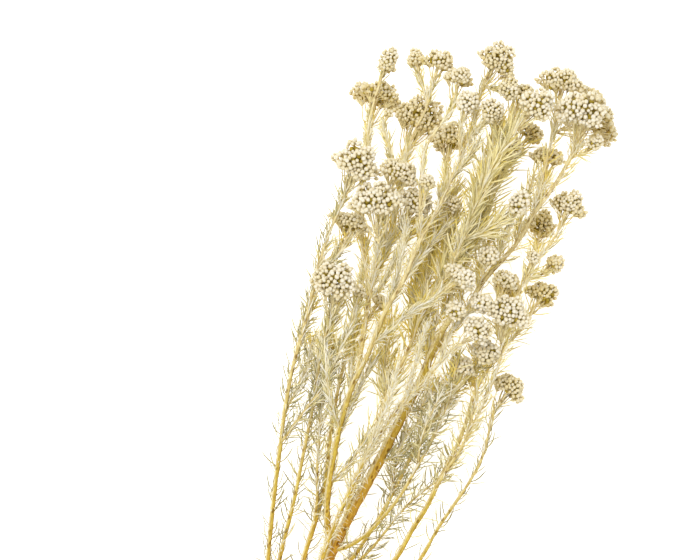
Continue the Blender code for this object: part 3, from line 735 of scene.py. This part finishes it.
def in_the_way(base, tip, line, has_head, heads, clearance):
    """Whether a leaf would reach the floor, its own twig's head or another head."""
    if min(base.z, tip.z) < clearance:
        return True
    if has_head and (tip - line[-1]).dot((line[-1] - line[-3]).normalized()) > 0:
        return True
    return any((tip - middle).length < reach * HEAD_CLEARANCE
               or tip.z > middle.z and (tip - middle).xy.length < reach * CLEARANCE_OVER_HEAD
               for middle, reach in heads)


def tone_near(draw, middle, spread, low, high):
    """A random tone about a middle one."""
    return within(draw.gauss(middle, spread), low, high)


def leaf_tone(spot, out, free, habit, draw):
    """A leaf's tone: olive where it stands free, gold as painted shade underneath, pale on top."""
    old = old_share(spot)
    if out.z < VERY_TOP and (free or draw.random() < OLIVE_SHARE * old):
        shade = OLIVE_TONE - OLIVE_BY_PLACE * old + OLIVE_BY_SIDE * out.z + habit.paleness
        return tone_near(draw, shade, *OLIVE_SPREAD)
    # Leaves underneath take the gold tone: painted shade.
    if out.z < UNDERSIDE and old < YOUNG_SHARE:
        return tone_near(draw, *UNDERSIDE_SHADE_TONE)
    shade = habit.bleaching + PALE_BY_SIDE * out.z + PALE_BY_PLACE * old
    return tone_near(draw, shade, *PALE_SPREAD)


def curl_places(line, radii, leaves, habit, draw):
    """Where curled remains of old leaves cling to a thick stem."""
    whole = sum((end - start).length for start, end in zip(line, line[1:]))
    step = leaves.curl_spacing / habit.curls
    spots = even(line, step)
    for index, (start, end) in enumerate(zip(spots, spots[1:])):
        radius = radius_at(radii, min(1, index * step / whole))
        if (radius < leaves.young_radius * CURL_RADIUS
                or draw.random() < old_share(start) * BARE_OF_CURLS):
            continue
        along = (end - start).normalized()
        out = Quaternion(along, draw.uniform(0, math.tau)) @ along.orthogonal().normalized()
        turned = leaning(along, out, math.radians(draw.uniform(*CURL_LEANS)))
        size = draw.uniform(*CURL_SIZES)
        yield (Matrix.Translation(start + out * radius * CURL_ROOT) @ turned
               @ Matrix.Diagonal((CURL_WIDTH, size, size, 1)))


def leafy_stem(name, lines, stamps, heads, neighbours):
    """A branch with its bark, its needle leaves and its dry curls."""
    bark, leaves = bpy.context.scene.stalk_bark, bpy.context.scene.stalk_leaves
    twigs, slot, habit = BRANCHES[name]
    draw = random.Random(name)
    bm = new_bmesh()
    grow_bark(bm, twigs, lines, bark)
    for item, line in zip(twigs, lines):
        for place, out in leaf_places(line, item["radii"], leaves, habit, draw):
            base = place.translation
            tip = place @ Vector((0, TIP_BOW * leaves.length, leaves.length))
            if in_the_way(base, tip, line, item["head"], heads, leaves.width):
                continue
            free = neighbours.free(tip, line)
            if free and draw.random() < leaves.free_bareness:
                continue
            # Leaves well under another twig take the gold tone: painted shade.
            if (not free and old_share(base) < YOUNG_SHARE and neighbours.covered(tip)
                    and draw.random() < leaves.covered_shade_share):
                shade = tone_near(draw, *COVERED_SHADE_TONE)
            else:
                shade = leaf_tone(base, out, free, habit, draw)
            kind = "top leaves" if out.z > TOP_SIDE else "side leaves"
            draw.choice(stamps[kind]).press(bm, place, shade)
        for place in curl_places(line, item["radii"], leaves, habit, draw):
            if place.translation.z > leaves.width * 2:
                draw.choice(stamps["curls"]).press(bm, place, draw.uniform(*CURL_TONES))
    return finish_piece(bm, name + "_leafy", [bark_material(), leaf_material()], name, slot)


class HeadShape:
    """The rounded body on which a head's outer buds lie."""

    def __init__(self, line, size, bud):
        along = (line[-1] - line[-CURVE_POINTS // 2]).normalized()
        side = along.cross(Vector((0, 0, 1))).normalized()
        turn = Matrix((side, along.cross(side), along)).transposed()
        half = size[0] / 2 * MM
        halves = Vector((half, half * UPWARD_SHARE, size[1] / 2 * MM))
        self.middle = line[-1]
        self.half_width = halves.x
        self.shell = Vector([max(half - bud, half * LEAST_SHELL) for half in halves])
        self.top = self.shell.z * DOME_SHARE
        self.bottom = 2 * self.shell.z - self.top
        self.place = Matrix.Translation(self.middle) @ turn.to_4x4()

    def at(self, spot):
        """The place of a spot that is given on a ball of radius 1."""
        height = spot.z * (self.top if spot.z > 0 else self.bottom) + self.bottom - self.shell.z
        return self.place @ Vector((spot.x * self.shell.x, spot.y * self.shell.y, height))


def ball_points(count, lowest):
    """Directions spread evenly over a ball, from its top down to a lowest height."""
    for index in range(count):
        up = 1 - (index + 0.5) / count * (1 - lowest)
        flat = math.sqrt(1 - up * up)
        around = index * GOLDEN_ANGLE
        yield Vector((flat * math.cos(around), flat * math.sin(around), up))


def grow_fork(bm, shape, way, height, stalk, buds, draw):
    """One fork of a head's stalks. Its end is the hub of a small dome of buds."""
    depth = shape.half_width * buds.fork_depth * draw.uniform(*FORK_DEPTHS)
    root = shape.place @ Vector((0, 0, -depth))
    hub = root.lerp(shape.at(way * height * HUB_HEIGHT), HUB_SHARE)
    bend = root.lerp(hub, 0.5) + (hub - shape.middle) * FORK_BEND
    for start, end, width in zip((root, bend), (bend, hub), FORK_WIDTHS):
        stalk.press(bm, between(start, end, buds.stalk_width * width), STALK_TONE)
    return hub


def flower_head(name, line, size, stamps):
    """A head of round buds on fine forking stalks, gathered in many small domes."""
    buds = bpy.context.scene.stalk_buds
    draw = random.Random(name)
    bm = new_bmesh()
    number = int(name[-2:])
    white = number in WHITE_HEADS
    swell = WHITE_SWELL if white else USUAL_SWELL
    middle_tone = DOME_TONE + (WHITENESS if white else DULLNESS if number in DULL_HEADS else 0)
    bud = buds.width / 2 * swell
    shape = HeadShape(line, size, bud)
    lobe = min(WIDEST_DOME, buds.cluster / (sum(shape.shell) / 3))
    count = max(FEWEST_DOMES, round(DOMES_PER_BALL / lobe ** 2))
    domes = [Quaternion((draw.uniform(-1, 1), draw.uniform(-1, 1), 0), DOME_TILT * lobe) @ way
             for way in ball_points(count, LOWEST_DOME)]
    heights = [draw.uniform(*DOME_HEIGHTS) for _ in domes]
    tones = [draw.gauss(middle_tone, DOME_TONE_SPREAD) for _ in domes]
    hubs = [grow_fork(bm, shape, way, height, stamps["stalk"], buds, draw)
            for way, height in zip(domes, heights)]
    spots = []
    for layer, share in enumerate(LAYERS):
        for way in ball_points(round(buds.tries * share * share), LOWEST_BUD):
            jitter = Vector([draw.gauss(0, BUD_JITTER) for _ in range(3)])
            way = (way + jitter).normalized()
            angles = [way.angle(dome) for dome in domes]
            dome = angles.index(min(angles))
            bulge = math.sqrt(max(0, 1 - (angles[dome] / lobe) ** 2))
            rim = way.z < RIM
            if rim and draw.random() < buds.raggedness * (RIM - way.z) / RIM_DEPTH:
                continue
            reach = (1 - buds.lumpiness * (1 - bulge)) * heights[dome] * share
            reach *= draw.uniform(*(RIM_REACHES if rim else DOME_REACHES))
            tip = shape.at(way * reach)
            size = draw.uniform(*BUD_SIZES)
            if tip.z < bud * BUD_CLEARANCE or any(
                    (tip - other).length < bud * (size + large) * BUD_CROWDING
                    for other, large in spots):
                continue
            spots.append((tip, size))
            facing = (tip - hubs[dome]).normalized()
            if way.z < STALKED_BELOW and layer == 0:
                foot = tip - facing * bud * BUD_FOOT
                twig_width = buds.stalk_width * TWIG_WIDTH
                stamps["stalk"].press(bm, between(hubs[dome], foot, twig_width), STALK_TONE)
            # Inner buds keep the darkest tone: painted shade.
            tone = SHADED_INNER_TONE
            if layer == 0:
                shade = tones[dome] + BUD_TONE_BY_SIDE * way.z
                tone = tone_near(draw, shade, BUD_TONE_SPREAD, SHADED_INNER_TONE, 1)
            turned = facing.to_track_quat("Z", "Y").to_matrix().to_4x4()
            grown = Matrix.Scale(size * swell, 4)
            stamps["bud"].press(bm, Matrix.Translation(tip) @ turned @ grown, tone)
    return finish_piece(bm, name + "_buds", [bark_material(), bud_material()], name, "buds")


def new_material(name):
    """A material with nodes, and its shader."""
    made = bpy.data.materials.new(name)
    made.use_nodes = True
    return made, made.node_tree, made.node_tree.nodes["Principled BSDF"]


def add(tree, kind, **values):
    """A node with its settings. Values whose names are inputs are set on the inputs."""
    node = tree.nodes.new(kind)
    for key, value in values.items():
        if hasattr(node, key):
            setattr(node, key, value)
        else:
            node.inputs[key].default_value = value
    return node


def ramp(tree, stops, factor):
    """A colour ramp with the given (place, colour) stops, fed by a socket."""
    node = tree.nodes.new("ShaderNodeValToRGB")
    elements = node.color_ramp.elements
    while len(elements) < len(stops):
        elements.new(0.5)
    for element, (place, colour) in zip(elements, stops):
        element.position = place
        element.color = (*colour[:3], 1)
    tree.links.new(factor, node.inputs["Fac"])
    return node.outputs["Color"]


def blend(tree, kind, factor, first, second):
    """Two colours, the mix node's inputs 6 and 7, mixed by a socket or a number."""
    node = add(tree, "ShaderNodeMix", data_type="RGBA", blend_type=kind)
    for socket, value in zip((node.inputs[0], node.inputs[6], node.inputs[7]),
                             (factor, first, second)):
        if isinstance(value, bpy.types.NodeSocket):
            tree.links.new(value, socket)
        else:
            socket.default_value = value
    return node.outputs[2]


def tint(tree, colour, strength, stops, factor):
    """A colour multiplied by a colour ramp."""
    return blend(tree, "MULTIPLY", strength, colour, ramp(tree, stops, factor))


def attribute(tree, name):
    """A value that is stored on the mesh: height or tone."""
    return add(tree, "ShaderNodeAttribute", attribute_name=name).outputs["Fac"]


def grain_group():
    """The marks of dry plants, from their size and the place: streaks, flecks and scars."""
    if "Dry grain" in bpy.data.node_groups:
        return bpy.data.node_groups["Dry grain"]
    tree = bpy.data.node_groups.new("Dry grain", "ShaderNodeTree")
    for label in GRAINS:
        for name, way in ((label + " size", "INPUT"), (label + "s", "OUTPUT")):
            tree.interface.new_socket(name, in_out=way, socket_type="NodeSocketFloat")
    enter = tree.nodes.new("NodeGroupInput")
    leave = tree.nodes.new("NodeGroupOutput")
    where = tree.nodes.new("ShaderNodeTexCoord")
    for label, (kind, output, length_scale, settings) in GRAINS.items():
        stretch = add(tree, "ShaderNodeMapping", Scale=(1, length_scale, 1))
        texture = add(tree, kind, **settings)
        tree.links.new(where.outputs["Object"], stretch.inputs["Vector"])
        tree.links.new(stretch.outputs["Vector"], texture.inputs["Vector"])
        tree.links.new(enter.outputs[label + " size"], texture.inputs["Scale"])
        tree.links.new(texture.outputs[output], leave.inputs[label + "s"])
    return tree


def grain(tree, streak, fleck, scar=260):
    """The dry grain with each kind of mark at so many a metre."""
    node = tree.nodes.new("ShaderNodeGroup")
    node.node_tree = grain_group()
    for label, size in zip(GRAINS, (streak, fleck, scar)):
        node.inputs[label + " size"].default_value = size
    return node


def finish_surface(tree, shader, marks, colour, gloss, roughness, relief, strength,
                   uneven="Streaks"):
    """Gives a dry surface its colour, faint gloss, uneven roughness and streaked relief."""
    low, high = roughness
    rough = ramp(tree, ((0.3, (low,) * 3), (0.7, (high,) * 3)), marks[uneven])
    bump = add(tree, "ShaderNodeBump", Strength=strength, Distance=relief)
    tree.links.new(colour, shader.inputs["Base Color"])
    tree.links.new(rough, shader.inputs["Roughness"])
    tree.links.new(marks["Streaks"], bump.inputs["Height"])
    tree.links.new(bump.outputs["Normal"], shader.inputs["Normal"])
    shader.inputs["Specular IOR Level"].default_value = gloss


def bark_material():
    """Dry bark: orange-brown where the stem is old, gold higher up and straw at the tips,
    with a painted highlight on the side facing SUN and painted shade on the side away from it.
    """
    if "bark" in bpy.data.materials:
        return bpy.data.materials["bark"]
    bark = bpy.context.scene.stalk_bark
    made, tree, shader = new_material("bark")
    marks = grain(tree, streak=900, fleck=420).outputs
    side = attribute(tree, "tone")
    colour = ramp(tree, ((0.06, bark.young), (0.32, bark.middle), (0.85, bark.old)),
                  attribute(tree, "height"))
    # Painted highlight: the side facing SUN is mixed towards the bleached bark colour.
    lit = ramp(tree, ((0.76, (0, 0, 0)), (0.9, WHITE)), side)
    colour = blend(tree, "MIX", lit, colour, (*bark.bleached, 1))
    # Painted shade: the side away from SUN is darkened.
    colour = tint(tree, colour, 0.8, ((0.08, (0.62, 0.46, 0.22)), (0.4, WHITE)), side)
    colour = tint(tree, colour, 0.7, ((0.32, (0.5, 0.36, 0.2)), (0.6, WHITE)), marks["Streaks"])
    colour = tint(tree, colour, 0.75, ((0.17, (0.3, 0.18, 0.05)), (0.27, WHITE)), marks["Scars"])
    colour = tint(tree, colour, 0.6, ((0.35, (0.84, 0.76, 0.6)), (0.7, (1.1, 1.08, 1))),
                  marks["Flecks"])
    finish_surface(tree, shader, marks, colour,
                   gloss=0.12, roughness=(0.5, 0.75), relief=0.25 * MM, strength=0.6)
    return made


def leaf_material():
    """Bleached needle leaves: straw, some olive, some gold as painted shade, yellower at the root.
    """
    if "leaf" in bpy.data.materials:
        return bpy.data.materials["leaf"]
    leaves = bpy.context.scene.stalk_leaves
    made, tree, shader = new_material("leaf")
    marks = grain(tree, streak=1400, fleck=420).outputs
    colour = ramp(tree, ((0.05, leaves.gold), (0.2, leaves.olive), (0.5, leaves.straw),
                         (0.75, leaves.pale), (1, leaves.bleached)), attribute(tree, "tone"))
    colour = tint(tree, colour, 0.8, ((0, (0.9, 0.78, 0.42)), (0.3, WHITE)),
                  attribute(tree, "height"))
    colour = tint(tree, colour, 0.5, ((0.3, (0.75, 0.7, 0.55)), (0.6, WHITE)), marks["Flecks"])
    finish_surface(tree, shader, marks, colour,
                   gloss=0.12, roughness=(0.55, 0.8), relief=0.1 * MM, strength=0.5)
    return made


def bud_material():
    """Papery cream buds: brown-gold at the base, partly their own colour and partly painted shade
    between the buds, pale sides and a warm tip. The darkest tone is painted shade deep inside a
    head.
    """
    if "bud" in bpy.data.materials:
        return bpy.data.materials["bud"]
    buds = bpy.context.scene.stalk_buds
    made, tree, shader = new_material("bud")
    marks = grain(tree, streak=2600, fleck=900).outputs
    # The darkest stop, the inner bud colour, is painted shade deep inside a head.
    colour = ramp(tree, ((0.05, buds.inner), (0.16, buds.dull), (0.45, buds.cream),
                         (1, buds.white)), attribute(tree, "tone"))
    # Darker brown-gold towards each bud's base: partly its own colour, partly painted shade between
    # the buds.
    colour = tint(tree, colour, 0.85, (
        (0.05, (0.5, 0.355, 0.035)), (0.36, (0.96, 0.88, 0.64)), (0.62, WHITE),
        (0.93, (1, 0.97, 0.9)), (1, (0.84, 0.68, 0.42))), attribute(tree, "height"))
    colour = tint(tree, colour, 0.6, ((0.3, (0.94, 0.86, 0.68)), (0.6, WHITE)), marks["Flecks"])
    finish_surface(tree, shader, marks, colour, uneven="Flecks",
                   gloss=0.15, roughness=(0.6, 0.85), relief=0.15 * MM, strength=0.6)
    return made


def floor_material():
    """A plain pale light table."""
    made, tree, shader = new_material("floor")
    where = tree.nodes.new("ShaderNodeTexCoord")
    mottle = add(tree, "ShaderNodeTexNoise", Scale=6.0)
    tree.links.new(where.outputs["Object"], mottle.inputs["Vector"])
    colour = ramp(tree, ((0, (0.93, 0.93, 0.93)), (1, (0.96, 0.96, 0.955))), mottle.outputs["Fac"])
    tree.links.new(colour, shader.inputs["Base Color"])
    for name, value in (("Emission Color", (1, 1, 1, 1)), ("Roughness", 0.9),
                        ("Emission Strength", bpy.context.scene.stalk_stage.floor_glow),
                        ("Specular IOR Level", 0.2)):
        shader.inputs[name].default_value = value
    return made


def colour_property(name, description, default):
    """A colour that a user may change."""
    return FloatVectorProperty(name=name, description=description, default=default,
                               subtype="COLOR", size=3, min=0, max=1)


def length_property(name, description, default):
    """A length that a user may change."""
    return FloatProperty(name=name, description=description, default=default,
                         unit="LENGTH", min=0, precision=5)


def angle_property(name, description, degrees):
    """An angle that a user may change."""
    return FloatProperty(name=name, description=description, default=math.radians(degrees),
                         subtype="ANGLE", min=0, max=math.pi / 2)


def share_property(name, description, default, top=1):
    """A share or a strength that a user may change."""
    return FloatProperty(name=name, description=description, default=default,
                         subtype="FACTOR", min=0, max=top)


def power_property(name, description, default):
    """A lamp's power that a user may change."""
    return FloatProperty(name=name, description=description, default=default,
                         unit="POWER", min=0)


class BarkSettings(bpy.types.PropertyGroup):
    """The sizes and colours of the stems"""
    slimness: share_property("Slimness", "Mean width of a stem, as a share of its solid's", 0.93)
    ring_spacing: length_property("Ring spacing", "Distance between the rings of a stem", 3 * MM)
    unevenness: share_property("Unevenness", "How much a stem's width varies", 0.22)
    # The bleached bark colour is the painted highlight on the side of a stem that faces SUN.
    bleached: colour_property("Bleached bark", "Colour of the sunny side", (0.95, 0.86, 0.52))
    young: colour_property("Young bark", "Colour at the tips", (0.90, 0.82, 0.50))
    middle: colour_property("Middle bark", "Colour of the golden stems", (0.73, 0.575, 0.11))
    old: colour_property("Old bark", "Colour of the thickest stems", (0.73, 0.39, 0.04))


class LeafSettings(bpy.types.PropertyGroup):
    """The sizes, number, angles and colours of the needle leaves"""
    length: length_property("Length", "Length of a needle leaf", 12.5 * MM)
    width: length_property("Width", "Width of a needle leaf", 0.95 * MM)
    thickness: length_property("Thickness", "Thickness of a needle leaf", 0.6 * MM)
    spacing: length_property("Spacing", "Distance between leaves along a young twig", 0.43 * MM)
    curl_spacing: length_property("Curl spacing", "Distance between curled old leaves", 1.5 * MM)
    young_radius: length_property("Young radius", "Radius up to which a twig is young", 0.95 * MM)
    old_foot: share_property("Old foot", "How much barer the stalk is at its foot", 0.6, 5)
    shedding: share_property("Shedding", "How fast older stems lose leaves", 1.7, 4)
    top_angle: angle_property("Top angle", "Angle to the twig of the leaves on top", 15)
    young_angle: angle_property("Young angle", "Angle of the side leaves on new wood", 40)
    side_angle: angle_property("Side angle", "Angle of the side leaves on older wood", 60)
    angle_spread: angle_property("Angle spread", "How much the angles vary", 15)
    underside_bareness: share_property(
        "Underside bareness", "Share of leaves that are missing underneath", 0.5)
    old_top_bareness: share_property(
        "Old top bareness", "How fast older stems lose the leaves on top", 2.2, 5)
    free_bareness: share_property(
        "Free bareness", "Share of leaves that are missing where a twig stands free", 0.25)
    # The share of leaves under other twigs that take the gold tone as painted shade.
    covered_shade_share: share_property(
        "Gold share", "Share of the leaves under other twigs that have kept their gold", 0.6)
    # The gold leaf colour is painted shade, for leaves underneath and under other twigs.
    gold: colour_property("Gold leaf", "Colour of the leaves underneath", (0.93, 0.78, 0.25))
    olive: colour_property("Olive leaf", "Colour of the dullest leaves", (0.355, 0.32, 0.165))
    straw: colour_property("Straw leaf", "Colour of most leaves", (0.94, 0.84, 0.42))
    pale: colour_property("Pale leaf", "Colour of the paler leaves", (0.96, 0.89, 0.63))
    bleached: colour_property("Bleached leaf", "Colour of the palest leaves", (0.97, 0.945, 0.83))


class BudSettings(bpy.types.PropertyGroup):
    """The sizes, number and colours of the buds"""
    width: length_property("Width", "Width of a bud", 2.7 * MM)
    stalk_width: length_property("Stalk width", "Width of a head's stalks", 0.9 * MM)
    cluster: length_property("Cluster", "Radius of a small dome of buds", 5.0 * MM)
    lumpiness: share_property("Lumpiness", "How deep the gaps between small domes are", 0.34)
    raggedness: share_property("Raggedness", "How many buds are missing at the rim", 0.5)
    tries: IntProperty(name="Tries", description="How many places for buds a head tries",
                       default=1100, min=50, max=5000)
    fork_depth: share_property(
        "Fork depth", "Where the stalks fork, below the middle, in half widths", 1.6, 5)
    # The inner bud colour is painted shade deep inside a head.
    inner: colour_property("Inner bud", "Colour of the buds deep inside", (0.46, 0.355, 0.05))
    dull: colour_property("Dull bud", "Colour of the dullest buds", (0.79, 0.69, 0.38))
    cream: colour_property("Cream bud", "Colour of most buds", (0.83, 0.76, 0.53))
    white: colour_property("White bud", "Colour of the palest buds", (0.93, 0.895, 0.785))


class StageSettings(bpy.types.PropertyGroup):
    """The floor, the lights and the lens"""
    floor_size: length_property("Floor size", "Width of the floor", 12.0)
    floor_glow: share_property("Floor glow", "How much the light table glows", 0.68)
    sky: share_property("Sky", "Strength of the even light", 0.65, 5)
    key_power: power_property("Key light", "Power of the lamp above the stalk", 23)
    fill_power: power_property("Fill light", "Power of the lamp on the other side", 3)
    lens: FloatProperty(name="Lens", description="Focal length", default=195, min=10, unit="CAMERA")


def area_light(name, target, offset, size, power):
    """A square soft light at an offset from its target."""
    data = bpy.data.lights.new(name, "AREA")
    data.shape = "SQUARE"
    data.size = size
    data.energy = power
    light = new_object(name, data)
    light.location = target + Vector(offset)
    light.rotation_mode = "QUATERNION"
    light.rotation_quaternion = (-Vector(offset)).to_track_quat("-Z", "Y")


class STALK_OT_branches(bpy.types.Operator):
    """The woody stem and its leafy branches"""
    bl_idname = "stalk.branches"
    bl_label = "Branches"

    def execute(self, context):
        leaves = context.scene.stalk_leaves
        draw = random.Random(STAMP_SEED)
        stamps = {kind: leaf_stamps(leaves, bows, draw) for kind, bows in LEAF_BOWS.items()}
        lines = all_lines()
        neighbours = Neighbours(lines)
        heads = [(line[-1], size[0] / 2 * MM) for line, size in headed_twigs(lines)]
        for name in BRANCHES:
            leafy_stem(name, lines[name], stamps, heads, neighbours)
        return {"FINISHED"}


class STALK_OT_heads(bpy.types.Operator):
    """The domed flower heads"""
    bl_idname = "stalk.heads"
    bl_label = "Flower heads"

    def execute(self, context):
        stamps = {"bud": bud_stamp(context.scene.stalk_buds), "stalk": stalk_stamp()}
        for number, (line, size) in enumerate(headed_twigs(all_lines()), 1):
            flower_head(f"flower_head_{number:02d}", line, size, stamps)
        return {"FINISHED"}


class STALK_OT_stage(bpy.types.Operator):
    """The floor, the lights and the camera above the stalk"""
    bl_idname = "stalk.stage"
    bl_label = "Stage"

    def execute(self, context):
        scene = context.scene
        stage = scene.stalk_stage
        bm = bmesh.new()
        bmesh.ops.create_grid(bm, x_segments=1, y_segments=1, size=stage.floor_size / 2)
        floor = new_object("floor", new_mesh("floor", bm, [floor_material()]))
        world = bpy.data.worlds.new("studio")
        world.use_nodes = True
        sky = world.node_tree.nodes["Background"].inputs
        sky["Color"].default_value = (1, 1, 1, 1)
        sky["Strength"].default_value = stage.sky
        scene.world = world
        middle = plan(*PHOTO_MIDDLE, MIDDLE_HEIGHT / MM)
        area_light("key", middle, KEY_OFFSET, KEY_SIZE, stage.key_power)
        area_light("fill", middle, FILL_OFFSET, FILL_SIZE, stage.fill_power)
        data = bpy.data.cameras.new("camera")
        data.lens = stage.lens
        camera = new_object("camera", data)
        camera.location = (middle.x, middle.y, EYE_HEIGHT)
        camera.rotation_euler = (0, 0, LEAN)
        scene.camera = camera
        scene.view_settings.view_transform = "Standard"
        return {"FINISHED"}


class STALK_PT_panel(bpy.types.Panel):
    """The steps that make the stalk"""
    bl_label = "Stalk"
    bl_idname = "STALK_PT_panel"
    bl_space_type = "VIEW_3D"
    bl_region_type = "UI"
    bl_category = "Stalk"

    def draw(self, context):
        for operator in OPERATORS:
            self.layout.operator(operator.bl_idname)
        for name in SETTINGS:
            settings = getattr(context.scene, name)
            box = self.layout.box()
            for key in settings.__annotations__:
                box.prop(settings, key)


SETTINGS = {
    "stalk_bark": BarkSettings,
    "stalk_leaves": LeafSettings,
    "stalk_buds": BudSettings,
    "stalk_stage": StageSettings,
}
OPERATORS = (STALK_OT_branches, STALK_OT_heads, STALK_OT_stage)


def register():
    """Registers the settings, the operators and the panel."""
    for name, settings in SETTINGS.items():
        bpy.utils.register_class(settings)
        setattr(bpy.types.Scene, name, PointerProperty(type=settings))
    for operator in OPERATORS:
        bpy.utils.register_class(operator)
    bpy.utils.register_class(STALK_PT_panel)


def unregister():
    """Takes out what register put in."""
    bpy.utils.unregister_class(STALK_PT_panel)
    for operator in reversed(OPERATORS):
        bpy.utils.unregister_class(operator)
    for name, settings in SETTINGS.items():
        delattr(bpy.types.Scene, name)
        bpy.utils.unregister_class(settings)


def main():
    """Makes the stage and the stalk."""
    register()
    bpy.ops.stalk.stage()
    bpy.ops.stalk.branches()
    bpy.ops.stalk.heads()


if __name__ == "__main__":
    main()
